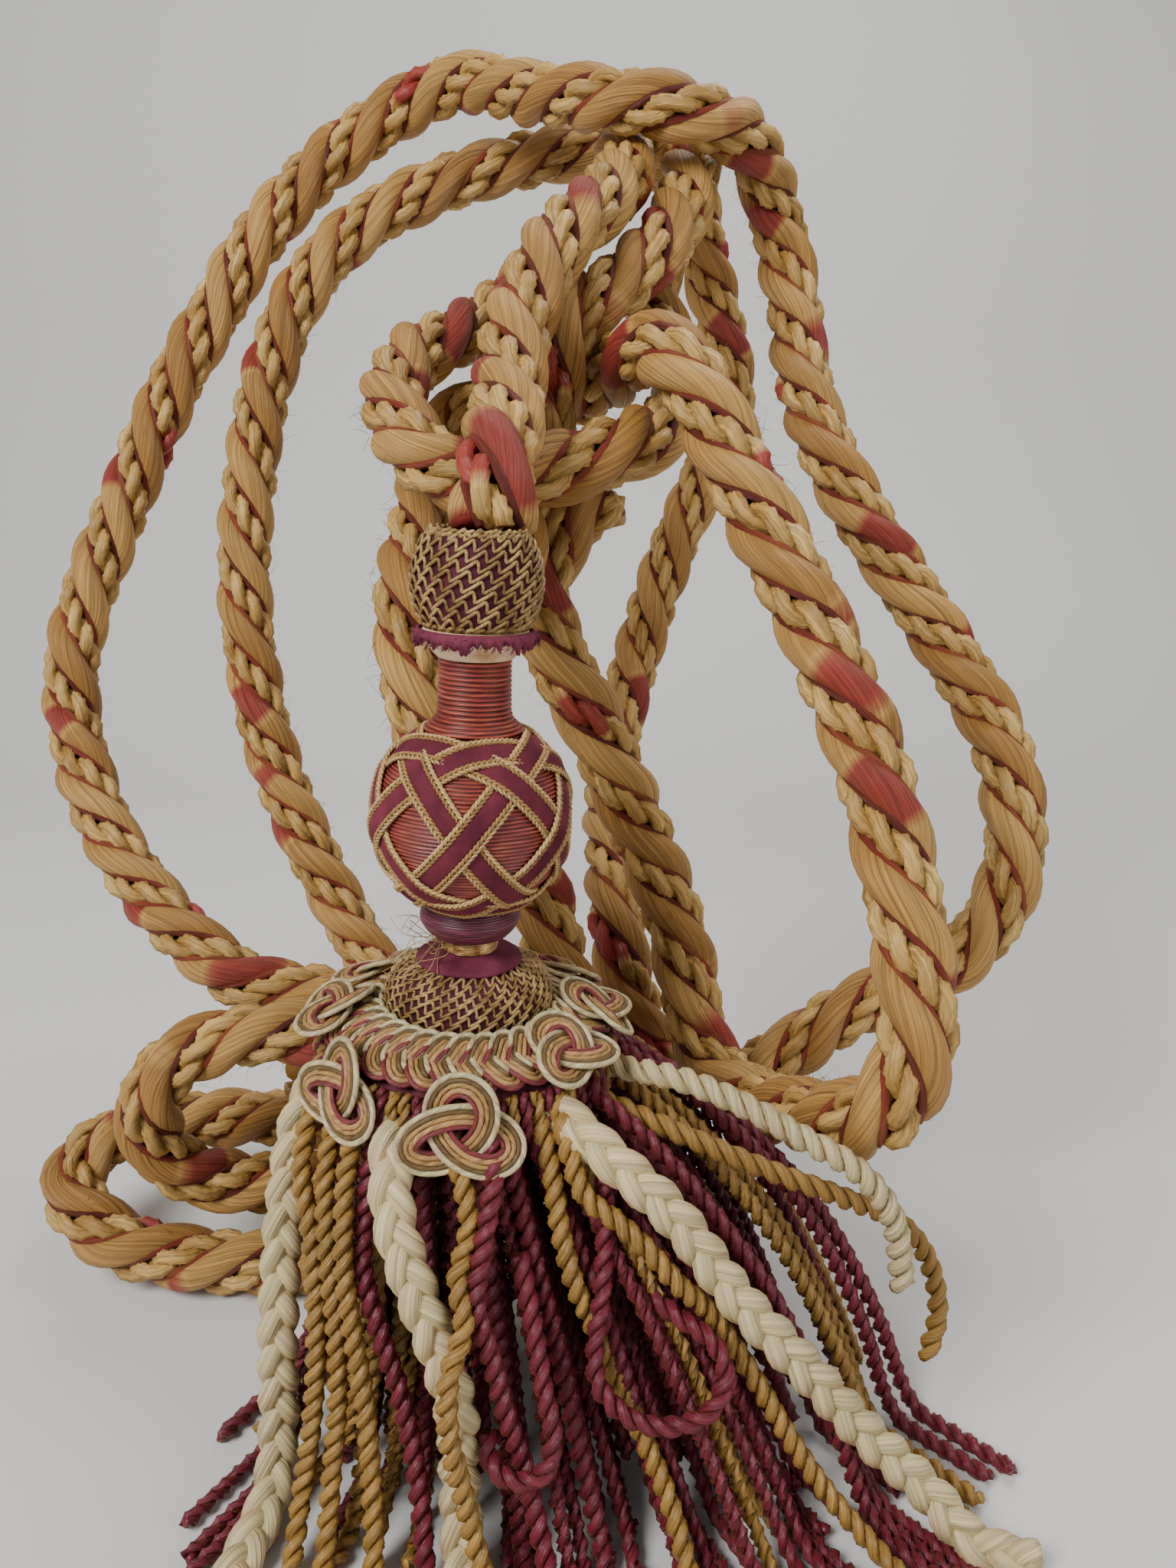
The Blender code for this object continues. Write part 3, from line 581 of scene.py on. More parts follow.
def mottled_material(name, colour, roughness, scale, detail, stops):
    """A material whose colour drifts with noise between its (share, colour) stops."""
    made, shader = plain_material(name, colour, roughness)
    tree = made.node_tree
    spot = add_node(tree, "TexCoord").outputs["Object"]
    drift = add_node(tree, "TexNoise", {"Vector": spot, "Scale": scale, "Detail": detail})
    set_inputs(tree, shader, {"Base Color": colour_ramp(tree, drift, stops)})
    return made, shader, spot


def velvet_material(name, colour, worn, roughness=0.8):
    """Velvet with a soft nap, rubbed paler in patches."""
    made, shader, spot = mottled_material(name, colour, roughness, 90.0, 4.0,
                                          [(0.35, colour), (0.75, worn)])
    tree = made.node_tree
    nap = add_node(tree, "TexNoise", {"Vector": spot, "Scale": 2600.0, "Detail": 1.0})
    relief = add_node(tree, "Bump", {"Distance": 0.15 * MM, "Strength": 0.8, "Height": nap})
    set_inputs(tree, shader, {"Normal": relief, "Sheen Weight": 0.25, "Sheen Roughness": 0.35,
                              "Sheen Tint": (*worn, 1.0), "Specular IOR Level": 0.2})
    return made


purple_velvet = velvet_material("purple_velvet", linear(84, 28, 44), linear(126, 56, 74), 0.75)
# Painted shade: a darker copy of the purple velvet, used for the bead and the dome, where the velvet shows
# only through the holes of the net.
painted_shade_velvet = velvet_material("painted_shade_velvet", linear(56, 20, 30), linear(92, 40, 54), 0.85)
net_silk = yarn_material("net_silk", [(0.0, linear(130, 100, 54)), (1.0, linear(182, 150, 94))],
                         0.9, 6.0, 0.5, 0.42, 0.12)


def radius_at(outline, height):
    """Radius of an outline at a height."""
    outline = np.asarray(outline)
    return np.interp(-np.asarray(height), -outline[:, 1], outline[:, 0])


def net_rows(outline, rows, cells, thread, lift, skew=0.0):
    """Rows of a knotted net over a turned form. Each row is one closed thread that swings between
    two heights, z = middle + half * sin(t). Drawn round by 1.15 * sin(t), it climbs slowly, drops
    back in a hook, and passes over the row above and under the row below."""
    threads = []
    for number, (middle, half) in enumerate(rows):
        t = 2 * math.pi * np.arange(cells * 11) / 11
        angle = (t + 1.15 * np.sin(t) + 0.2 * np.sin(2 * t + 0.6) + number * (math.pi + skew)) / cells
        height = middle + half * np.sin(t)
        radius = radius_at(outline, height) + thread * 0.8 + lift * np.sin(t + 0.5)
        line, beyond = (hung(np.column_stack([reach * np.cos(angle), reach * np.sin(angle), height]))
                        for reach in (radius, radius + 1))
        away = beyond - line
        pale = 0.5 + 0.5 * np.sin(t * 0.37 + number)
        threads.append(strand(bar(line, away, thread, 6, closed=True), None, pale, closed=True))
    return threads


bead_outline = bulged(BEAD_TOP, BEAD_FOOT, 13.6, 18.9, 14.2, 24, 0.62)
# The velvet under the bead's net is the darker copy, painted shade.
bead_velvet = turned("bead_velvet", bead_outline, 64, painted_shade_velvet)
bead_rows = [(BEAD_TOP - 0.5 - 2.8 * i, 1.55) for i in range(10)]
bead_rim = [(BEAD_TOP + 0.3, 0.25), (BEAD_TOP - 0.6, 0.4), (BEAD_FOOT + 0.9, 0.4), (BEAD_FOOT + 0.1, 0.3)]
bead_net = strand_mesh("bead_net", net_rows(bead_outline, bead_rows, 20, 0.54, 0.42, 0.7)
                       + net_rows(bead_outline, bead_rim, 34, 0.6, 0.25, 0.7), net_silk)
for piece in (bead_velvet, bead_net):
    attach(piece, "root")
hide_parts("net_bead")

bare_wood = mottled_material("bare_wood", linear(214, 186, 146), 0.6, 160.0, 5.0,
                             [(0.3, linear(172, 126, 84)), (0.6, linear(222, 196, 158))])[0]
collar = turned("wooden_collar", [(15.6, BEAD_FOOT - 0.3), (16.2, BEAD_FOOT - 1.2), (16.2, BEAD_FOOT - 2.4),
                                  (15.2, BEAD_FOOT - 4.8), (13.2, COLLAR_FOOT + 1.8),
                                  (12.2, COLLAR_FOOT + 0.8), (11.4, COLLAR_FOOT)], 64, bare_wood)
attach(collar, "root")
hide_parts("bead_collar")


def ragged_ring(name, top, foot, inner, outer, tongues, surface):
    """A torn band of velvet: its foot hangs to uneven depths, and its face is creased, by sums of sines
    size * sin(waves * tongues * angle + waves). blend fades them out where the ring closes."""
    sides = 240
    count = np.arange(sides)
    angle = 2 * math.pi * count / sides
    tear = sum(size * np.sin(waves * tongues * angle + waves) for size, waves in
               ((0.8, 1.0), (0.6, 2.3), (0.5, 4.1), (0.45, 6.7), (0.4, 9.7), (0.3, 13.9)))
    blend = np.clip(np.minimum(count, sides - count) / 6.0, 0, 1)
    crease = np.sin(3 * tongues * angle + 1) + 0.6 * np.sin(7.3 * tongues * angle)
    rows = []
    for share, swell in ((0.0, -0.6), (0.3, 0.5), (0.65, 0.3), (1.0, -0.2)):
        rows.append((outer + swell + 0.5 * share * crease * blend, share, 0.0))
    for share in (1.0, 0.5, 0.0):
        rows.append((np.full(sides, inner), share, 0.1))
    section = np.stack([np.column_stack([reach * np.cos(angle), reach * np.sin(angle),
                                         top + (foot - top + 1.1 * tear * blend) * share + lift])
                        for reach, share, lift in rows], axis=1)
    return strand_mesh(name, [strand(hung(section), outer * angle, 0.0, closed=True)], surface)


rag = ragged_ring("torn_velvet", BEAD_FOOT - 0.4, BEAD_FOOT - 4.2, 17.0, 18.2, 5, purple_velvet)
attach(rag, "root")
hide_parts("velvet_rag")


# Loose pile on the rag: hair k stands k golden angles round it and bends to one side
PILE_HAIRS = 420
pile = []
t = np.array((0.0, 0.5, 1.0))[:, None]
radii = np.repeat(np.array([0.16, 0.13, 0.05])[:, None], 3, axis=1)
for k in range(PILE_HAIRS):
    out, across = bearing_axes(GOLDEN_ANGLE * k)
    foot = BEAD_FOOT - 1.6 - 3.4 * ((k * PLASTIC_SHARE) % 1.0)
    start = out * (17.6 + 0.9 * ((k * 0.618) % 1.0)) + (0, 0, foot)
    way = out * 0.5 + across * math.sin(3.1 * k) * 0.6 + np.array((0, 0, -0.8)) * math.cos(0.7 * k)
    length = 1.4 + 1.2 * ((k * PLASTIC_REST) % 1.0)
    path = start + length * (t * way + t * t * across * math.cos(1.9 * k) * 0.4)
    pile.append(strand(bar(hung(path), np.broadcast_to(out + across, path.shape), radii, 3), None, 0.0))
pile_piece = strand_mesh("torn_pile", pile, purple_velvet)
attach(pile_piece, "root")


# Neck
# A turned stem wound with crimson silk thread, sixteen turns and a flared foot. Each turn of the thread is
# a round ridge whose crest catches the light. Shade is also painted into the gaps between turns, and the
# crests are painted a little lighter.
NECK_FOOT = -256.7


def wound(outline, pitch, depth, samples=6):
    """An outline with a round ridge |sin| for each turn of the thread wound on it, and a third number that
    is 1 in the gaps between turns, where the thread materials paint shade.
    """
    outline = np.array(outline, dtype=float)
    run = np.concatenate([[0.0], np.cumsum(np.linalg.norm(np.diff(outline, axis=0), axis=1))])
    count = int(run[-1] / pitch) * samples
    at = np.linspace(0.0, run[-1], count + 1)
    radius = np.interp(at, run, outline[:, 0])
    height = np.interp(at, run, outline[:, 1])
    ahead = unit(np.gradient(np.column_stack([radius, height]), axis=0))
    crest = np.abs(np.sin(math.pi * np.arange(count + 1) / samples))
    ridge = depth * (crest - 0.5)
    return np.column_stack([radius - ahead[:, 1] * ridge, height + ahead[:, 0] * ridge, 1 - crest])


def thread_material(name, colour, pale, dark):
    """Wound silk: its colour drifts along each turn. Shade is painted into the gaps between turns, where
    the third number is 1, and the crests are painted a little lighter.
    """
    made, shader = plain_material(name, colour, 0.42)
    tree = made.node_tree
    spot = add_node(tree, "Mapping", {"Vector": add_node(tree, "TexCoord").outputs["Object"],
                                      "Scale": (110.0, 110.0, 1500.0)})
    drift = add_node(tree, "TexNoise", {"Vector": spot, "Scale": 1.0, "Detail": 3.0})
    tinted = colour_ramp(tree, drift, [(0.3, dark), (0.5, colour), (0.7, pale)])
    gap = add_node(tree, "Attribute", attribute_name="dye_and_gap_shade").outputs["Fac"]
    # Painted shade and highlight: the colour falls to a quarter in the gaps between turns and rises to 1.15
    # times on the crests.
    light = add_node(tree, "MapRange", {"Value": gap, "From Min": 0.1, "From Max": 0.9,
                                        "To Min": 1.15, "To Max": 0.25})
    toned = add_node(tree, "VectorMath", {0: tinted, "Scale": light}, operation="SCALE")
    set_inputs(tree, shader, {"Base Color": toned, "Sheen Weight": 0.12, "Sheen Tint": (*pale, 1.0)})
    return made


crimson_thread = thread_material("crimson_thread", linear(136, 50, 42), linear(168, 82, 62),
                                 linear(94, 30, 28))
neck_outline = [(10.7, COLLAR_FOOT - 0.3), (10.8, COLLAR_FOOT - 8.0), (11.0, NECK_FOOT + 6.0),
                (11.9, NECK_FOOT + 3.6), (14.0, NECK_FOOT + 1.6), (15.0, NECK_FOOT + 0.6),
                (15.0, NECK_FOOT)]
neck = turned("wound_stem", wound(neck_outline, 1.45, 0.8), 72, crimson_thread)
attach(neck, "root")
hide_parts("wound_neck")


# Ball
# A turned ball wound with crimson thread from pole to pole. Six purple ribbons go right round it,
# tilted 52 degrees, and lace over and under each other. A herringbone braid is sewn to each edge.
BALL_RADIUS = 30.2
RIBBON_COUNT = 6
RIBBON_TILT = math.radians(52.0)
RIBBON_HALF_WIDTH = 2.95
RIBBON_HALF_THICK = 0.5
BRAID_OFFSET = 3.85
BRAID_HALF_GAP = 0.6
ball_end = math.asin(27.0 / 30.4)
ball_angles = np.linspace(ball_end, -ball_end, 60)
ball_outline = np.column_stack([BALL_RADIUS * np.cos(ball_angles),
                                BALL_CENTRE + BALL_RADIUS * np.sin(ball_angles)])
# The crimson thread material paints shade into the gaps between the ball's turns.
ball = turned("wound_ball", wound(ball_outline, 1.2, 0.6, 5), 88, crimson_thread)
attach(ball, "root")
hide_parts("ball")


def ribbon_frame(index):
    """Two directions that span a ribbon's plane and the plane's normal."""
    yaw = 2 * math.pi * index / RIBBON_COUNT
    normal = np.array((math.sin(RIBBON_TILT) * math.cos(yaw), math.sin(RIBBON_TILT) * math.sin(yaw),
                       math.cos(RIBBON_TILT)))
    first = unit(np.cross((0.0, 0.0, 1.0), normal))
    return first, np.cross(normal, first), normal


def crossings(index):
    """Angles along a ribbon at which the five others cross it, with each crosser's number."""
    first, second, normal = ribbon_frame(index)
    found = []
    for other in range(RIBBON_COUNT):
        if other != index:
            meet = unit(np.cross(normal, ribbon_frame(other)[2]))
            for spot in (meet, -meet):
                found.append((math.atan2(np.dot(spot, second), np.dot(spot, first)) % (2 * math.pi), other))
    return sorted(found)


def turn_between(one, other):
    """The turn between two directions, from 0 to pi."""
    return np.abs((one - other + math.pi) % (2 * math.pi) - math.pi)


def ribbon_lift(index, angle, over_first):
    """How far a ribbon stands off the ball: exp(-(turn / 0.2)^2), out where it goes over another and
    in where it goes under."""
    lift = np.zeros_like(angle)
    for number, (place, _) in enumerate(crossings(index)):
        swing = np.exp(-(turn_between(angle, place) / 0.20) ** 2)
        lift += swing * (1.0 if (number % 2 == 0) == over_first else -1.0)
    return lift


def ribbon_line(index, across, height, over_first, count=220):
    """A line along a ribbon, off to one side by across and above the ball by height."""
    first, second, normal = ribbon_frame(index)
    angle = 2 * math.pi * np.arange(count) / count
    spoke = spun(first, second, angle)
    reach = BALL_RADIUS + height + 0.75 * ribbon_lift(index, angle, over_first)
    line = spoke * reach[:, None] + normal * across
    line = unit(line) * reach[:, None]
    line[:, 2] += BALL_CENTRE
    return line, spoke, normal


def flat_bar(line, outward, across, half_width, half_thick, sides=10):
    """Rings of a flat ribbon with rounded edges: an oval across the line."""
    angle = math.pi + 2 * math.pi * np.arange(sides) / sides
    rim = np.sign(np.sin(angle)) * np.abs(np.sin(angle)) ** 0.7
    return (line[:, None] + outward[:, None] * (half_thick * np.cos(angle))[None, :, None]
            + across[:, None] * (half_width * rim)[None, :, None])


def over_under_choice():
    """Pick for each ribbon whether it starts over or under, so that at each crossing one is over."""
    for choice in range(2 ** RIBBON_COUNT):
        starts = [bool(choice >> k & 1) for k in range(RIBBON_COUNT)]
        clash = False
        for index in range(RIBBON_COUNT):
            first, second, normal = ribbon_frame(index)
            for number, (place, other) in enumerate(crossings(index)):
                spot = first * math.cos(place) + second * math.sin(place)
                there = ribbon_frame(other)
                at = math.atan2(np.dot(spot, there[1]), np.dot(spot, there[0])) % (2 * math.pi)
                listed = crossings(other)
                same = min(range(len(listed)), key=lambda k: turn_between(listed[k][0], at))
                over_here = (number % 2 == 0) == starts[index]
                over_there = (same % 2 == 0) == starts[other]
                clash = clash or over_here == over_there
        if not clash:
            return starts
    return [False] * RIBBON_COUNT


def twist_pair(line, outward, gap, radius, pitch, hand, sides):
    """Two threads twisted round each other along a closed line, hand 1 to the right and -1 to the
    left, in whole turns of about the pitch."""
    first, second = square_to(headings(line, True), outward)
    run = distance_along(line)
    length = run[-1] + np.linalg.norm(line[0] - line[-1])
    turns = max(1, round(length / pitch))
    pair = []
    for start in (0.0, math.pi):
        spoke = spun(first, second, start + hand * 2 * math.pi * turns * run / length)
        pair.append(bar(line + spoke * gap, spoke, radius, sides, closed=True))
    return pair


braid_silk = yarn_material("braid_silk", [(0.0, linear(170, 130, 76)), (1.0, linear(208, 172, 116))],
                           0.8, 8.0, 0.4, 0.45, 0.1)
ribbon_starts = over_under_choice()
ribbons = []
for index in range(RIBBON_COUNT):
    line, spoke, normal = ribbon_line(index, 0.0, 1.0, ribbon_starts[index])
    rings = flat_bar(line, spoke, np.broadcast_to(normal, spoke.shape), RIBBON_HALF_WIDTH,
                     RIBBON_HALF_THICK)
    ribbons.append(strand(hung(rings), None, 0.0, closed=True))
ribbon_velvet = velvet_material("ribbon_velvet", linear(82, 26, 40), linear(120, 48, 60))
lattice = strand_mesh("laced_ribbons", ribbons, ribbon_velvet)
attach(lattice, "root")
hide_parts("ribbon_lattice")
for index in range(RIBBON_COUNT):
    edges = []
    for edge in (-1, 1):
        for half, hand in ((-1, 1), (1, -1)):
            line, spoke, normal = ribbon_line(index, edge * BRAID_OFFSET + half * BRAID_HALF_GAP, 1.25,
                                              ribbon_starts[index], 300)
            for rings in twist_pair(line, spoke, 0.36, 0.46, 3.4, hand, 5):
                edges.append(strand(hung(rings), None, 0.5 + 0.5 * half * edge, closed=True))
    braid = strand_mesh("edge_braid_%d" % (index + 1), edges, braid_silk)
    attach(braid, "root")


# Foot of the head
# Below the ball come a ring covered in purple silk, a crumpled gilt band and a small flared cap of
# velvet that sits on the dome.
BAND_TOP = -322.8
CONE_TOP = -328.0
DOME_TOP = -332.2
DOME_FOOT = -347.4
purple_silk = thread_material("purple_silk", linear(96, 34, 50), linear(130, 62, 76), linear(62, 22, 32))
# The purple silk material paints shade into the gaps between the ring's turns.
foot_ring = turned("silk_ring", wound(bulged(-311.4, BAND_TOP + 0.3, 13.2, 15.8, 12.2, 24), 0.8, 0.16), 72,
                   purple_silk)
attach(foot_ring, "root")
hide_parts("foot_collar")


def crumple(angle, height):
    """Small dents where the gilt thread was wound on by hand."""
    return 0.10 * np.sin(5 * angle + 2 * height) + 0.06 * np.sin(11 * angle - 3 * height)


gilt, gilt_shader, _ = mottled_material("gilt", linear(188, 142, 78), 0.32, 320.0, 2.0,
                                        [(0.35, linear(142, 98, 52)), (0.65, linear(224, 188, 124))])
gilt_shader.inputs["Metallic"].default_value = 0.6
band_outline = [(8.6, BAND_TOP), (9.0, BAND_TOP - 1.0), (9.3, BAND_TOP - 2.4), (9.0, BAND_TOP - 3.9),
                (8.8, CONE_TOP + 0.3)]
band = turned("gilt_band", wound(band_outline, 0.55, 0.16, 4), 64, gilt, crumple)
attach(band, "root")
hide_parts("gold_band")
cone_outline = [(8.6, CONE_TOP), (9.6, CONE_TOP - 0.6), (12.2, CONE_TOP - 1.0), (15.4, CONE_TOP - 1.7),
                (16.7, CONE_TOP - 2.6), (17.0, CONE_TOP - 3.3), (16.2, DOME_TOP + 0.3)]
cone = turned("velvet_cap", cone_outline, 72, purple_velvet)
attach(cone, "root")
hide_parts("velvet_cone")


# A few ends of the gilt thread have sprung loose on the left
wisps = []
t = np.linspace(0.0, 1.0, 14)[:, None]
radii = np.repeat(np.linspace(0.17, 0.10, 14)[:, None], 4, axis=1)
for k in range(16):
    out, across = bearing_axes(math.radians(168 + 4.5 * k))
    size = 9.0 + 9.5 * ((k * GOLDEN_SHARE) % 1.0)
    curl = 3.2 * t + 2.4 * k
    aside = size * 0.34 * (np.sin(curl * 1.6) - np.sin(2.4 * k * 1.6))
    level = BAND_TOP - 2.4 + size * 0.30 * (np.cos(curl) - math.cos(2.4 * k)) + 0.16 * k * t
    path = out * (9.4 + size * t) + across * aside + np.array((0.0, 0.0, 1.0)) * level
    face = np.broadcast_to(across + out * 0.3, path.shape)
    wisps.append(strand(bar(hung(path), face, radii, 4), None, 1.0))
wisp_piece = strand_mesh("gilt_wisps", wisps, net_silk)
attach(wisp_piece, "root")


# Dome
# A turned dome covered in purple, under the same gold net as the bead: close rows at the top, and
# open ones with the purple showing at the foot.
dome_outline = [(15.6, DOME_TOP), (19.0, DOME_TOP - 1.0), (22.2, DOME_TOP - 2.8), (24.4, DOME_TOP - 5.2),
                (25.8, DOME_TOP - 8.0), (26.3, DOME_TOP - 11.0), (26.0, DOME_TOP - 13.4), (25.0, DOME_FOOT)]
dome_outline = np.array(dome_outline)
# The velvet under the dome's net is the darker copy, painted shade.
dome_velvet = turned("dome_velvet", dome_outline, 72, painted_shade_velvet)
dome_rows = [(DOME_TOP - 0.4 - 1.3 * i, 0.85) for i in range(5)]
dome_rows += [(DOME_TOP - 7.0 - 2.25 * i, 1.4) for i in range(4)]
dome_net = strand_mesh("dome_net", net_rows(dome_outline, dome_rows, 30, 0.48, 0.38, 0.5), net_silk)
for piece in (dome_velvet, dome_net):
    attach(piece, "root")
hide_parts("net_dome")


# Gimp
# Flat gimp of five corded threads, cream, olive, two tans and crimson. Three lengths are plaited into
# a sloping ruff round the dome's foot, and eight knots of it sit on the ruff or hang over its rim.
GIMP_OFFSETS = (-3.1, -1.55, -0.15, 1.45, 2.95)
GIMP_RADII = (0.88, 0.68, 0.72, 0.86, 0.7)
GIMP_DYES = (0.0, 0.25, 0.5, 0.75, 1.0)
gimp_silk = yarn_material("gimp_silk", [(0.0, linear(202, 184, 140)), (0.25, linear(108, 84, 48)),
                                        (0.5, linear(172, 134, 78)), (0.75, linear(184, 138, 90)),
                                        (1.0, linear(126, 46, 54))], 0.35, 9.0, 0.12, 0.45, 0.2)


def gimp_threads(line, face):
    """Five threads side by side along a closed line, lying in the plane that face stands on."""
    ahead = headings(line, True)
    across = unit(np.cross(ahead, face))
    lift = np.cross(across, ahead)
    threads = []
    for number, dye_and_gap_shade in enumerate(GIMP_DYES):
        path = line + across * GIMP_OFFSETS[number]
        run = distance_along(path)
        beat = 1 + (0.14 if number == 2 else 0.05) * np.sin(2 * math.pi * run / 1.7 + number)
        radii = GIMP_RADII[number] * np.repeat(beat[:, None], 6, axis=1)
        threads.append(strand(hung(bar(path, lift, radii, 6, closed=True)), run, dye_and_gap_shade, closed=True))
    return threads


RUFF_INNER = 30.2
RUFF_WIDTH = 15.0
RUFF_TOP = -346.3
RUFF_DROP = 7.6


def ruff_spot(angle, share, height):
    """A point on the ruff's slope: share 0 at its inner edge and 1 at its rim."""
    radius = RUFF_INNER + RUFF_WIDTH * share
    level = RUFF_TOP - RUFF_DROP * share
    slope = np.array((RUFF_DROP, RUFF_WIDTH)) / math.hypot(RUFF_DROP, RUFF_WIDTH)
    reach = radius + slope[0] * height
    return np.column_stack([reach * np.cos(angle), reach * np.sin(angle), level + slope[1] * height])


RUFF_WAVES = 11
ruff = []
t = np.linspace(0.0, 2 * math.pi, 300, endpoint=False)
for length in range(3):
    swing = RUFF_WAVES * t + 2 * math.pi * length / 3
    line, above = (ruff_spot(t, 0.44 + 0.42 * np.sin(swing), height + 0.95 * np.sin(2 * swing))
                   for height in (0.2, 1.2))
    ruff.extend(gimp_threads(line, unit(above - line)))
ruff_piece = strand_mesh("plaited_ruff", ruff, gimp_silk)
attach(ruff_piece, "root")
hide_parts("gimp_ruff")

# Each knot: direction round the axis, distance from it, height, half width, and how far its face
# is turned up from level
GIMP_KNOTS = {
    "gimp_knot_front": (-1.51, 51.7, -363.4, 14.5, 0.24),
    "gimp_knot_left": (-2.34, 50.8, -360.5, 13.5, 0.24),
    "gimp_knot_far_left": (-3.04, 43.4, -348.0, 12.0, 1.15),
    "gimp_knot_right": (-0.685, 43.4, -348.0, 12.0, 1.15),
    "gimp_knot_far_right": (0.10, 43.4, -348.0, 12.0, 1.15),
    "gimp_knot_back_right": (0.885, 43.4, -348.0, 12.0, 1.15),
    "gimp_knot_back": (1.67, 43.4, -348.0, 12.0, 1.15),
    "gimp_knot_back_left": (2.455, 43.4, -348.0, 12.0, 1.15),
}


def gimp_knot(node, bearing, distance, height, size, tilt):
    """Three laced bights: x = sin t + 2 sin 2t and y = cos t - 2 cos 2t, over and under by sin 3t."""
    out, along = bearing_axes(bearing)
    face = out * math.cos(tilt) + np.array((0.0, 0.0, math.sin(tilt)))
    down = unit(np.cross(along, face))
    t = 2 * math.pi * np.arange(100) / 100
    x = size * (np.sin(t) + 2 * np.sin(2 * t)) / 2.6
    y = size * (np.cos(t) - 2 * np.cos(2 * t)) / 3.2
    line = (out * distance + np.array((0.0, 0.0, height)) + along * x[:, None] + down * y[:, None]
            + face * (-1.6 * np.sin(3 * t))[:, None])
    made = strand_mesh(node + "_threads", gimp_threads(line, np.broadcast_to(face, line.shape)), gimp_silk)
    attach(made, "root")
    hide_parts(node)


for node, row in GIMP_KNOTS.items():
    gimp_knot(node, *row)


# Skirt
# The skirt hangs from a disc under the ruff. It is twisted two-ply cords in gold and crimson, with
# three cream plaits and two single cords over them. The right side is swept out, and the outer
# cords' ends lie on the surface.
SKIRT_TOP = -347.7
SKIRT_ROOT = -363.0
CORD_RADIUS = 3.3
PLAIT_RADIUS = 5.6
ROOT_RADII = (43.2, 35.6, 28.0, 14.0)
ROOT_SPACING = 7.9
CORD_STEPS = 7
FRONT_REACH = -362.0
SKIRT_RADIUS = 44.0
OUTER_ROOTS = 40.0
OUTER_FILLERS = 28.0
SWING_RIGHT = 2.05
SWING_LEFT = 0.45
SWING_FRONT = 0.55
SWING_BACK = 0.35
RIM_REACH = 49.5
RIM_CORD_RADIUS = 3.0
FILLER_RADIUS = 2.8
ROPE_CLEARANCE = 12.6
RIM_CORDS = 47
HEAD_CORDS = 74
FILLER_TRIES = 1700
FRONT_TRIES = 900

LEAVING_CORDS = {
    "plait_right": (PLAIT_RADIUS, (
        (45, -272, -362.5), (53, -281, -368), (66, -289, -376), (83, -293, -391), (103, -296, -418),
        (123, -298, -440), (142, -298, -463), (163, -300, -484), (176, -307, -496), (192, -313, -496.4))),
    "plait_front": (PLAIT_RADIUS, (
        (8.6, -277.5, -361), (2, -286, -366.5), (1, -294, -376), (3, -301, -389), (9, -306, -407),
        (16, -309, -427), (20, -310, -447), (20, -309, -474), (21, -316, -491.5),
        (24, -333, -496.4), (28, -358, -496.4))),
    "plait_left": (PLAIT_RADIUS, (
        (-13, -254, -361), (-25, -257, -366), (-32, -261, -376), (-37, -267, -400), (-40, -277, -440),
        (-41, -283, -478), (-42, -292, -492), (-46, -311, -496.4), (-50, -338, -496.4))),
    "cream_cord": (4.2, (
        (56.7, -251.6, -362), (68, -256, -363), (87, -266, -362), (104, -273, -366), (122, -279, -374),
        (139, -281, -384), (151, -280, -401), (156, -279, -426))),
    "gold_cord": (3.6, (
        (52, -258, -362), (60, -262.5, -369), (70, -265, -373), (89, -269, -380), (114, -270, -391),
        (139, -267, -403), (158, -262, -415), (170, -259, -432), (174, -261, -450), (171, -263, -466))),
}


# Cords that hang in front of the rest on the left and in the middle: yarn and route
FRONT_CORDS = (
    ("gold", ((-24, -262, -363), (-28, -272, -374), (-29, -279, -386), (-26, -284, -403),
              (-25, -288, -423), (-25, -292, -443), (-27, -296, -465), (-30, -300, -484),
              (-31, -314, -498), (-33, -345, -498.7))),
    ("gold", ((-14, -266, -362), (-20, -276, -376), (-21, -283, -391), (-20, -289, -410), (-18, -293, -432),
              (-18, -297, -453), (-20, -302, -476), (-21, -315, -497), (-21, -348, -498.7))),
    ("gold", ((-2, -272, -362), (-9, -281, -367), (-13, -285, -378), (-14, -291, -393), (-14, -295, -408),
              (-12, -298, -426), (-9, -301, -447), (-7, -306, -470), (-5, -320, -496), (-2, -354, -498.7))),
    ("crimson", ((-3, -274, -363), (-7, -284, -381), (-9, -288, -398), (-9, -292, -411), (-4, -296, -430),
                 (1, -299, -446), (6, -304, -469), (10, -317, -495), (15, -352, -498.7))),
    ("gold", ((17, -284, -362), (21, -295, -374), (24, -301, -389), (21, -307, -402), (23, -312, -413),
              (19, -319, -426), (19, -322, -442), (22, -322, -459), (26, -324, -479), (32, -333, -496),
              (36, -360, -498.7))),
    ("crimson", ((29, -286, -362), (31, -296, -375), (28, -304, -394), (26, -308, -409),
                 (30, -309, -426), (34, -311, -443), (39, -312, -461), (44, -317, -482),
                 (50, -332, -497), (56, -358, -498.7))),
    ("gold", ((42, -278, -361), (47, -287, -379), (50, -293, -397), (54, -296, -412), (59, -296, -425),
              (64, -297, -438), (73, -302, -457), (82, -309, -477), (88, -320, -494), (93, -344, -498.7))),
    ("gold", ((48, -276, -361), (52, -287, -372), (57, -292, -385), (66, -294, -392), (75, -296, -400),
              (84, -297, -411), (93, -294, -422), (101, -294, -434), (110, -297, -448), (119, -299, -464),
              (131, -302, -482), (146, -310, -496), (160, -330, -498.7))),
)


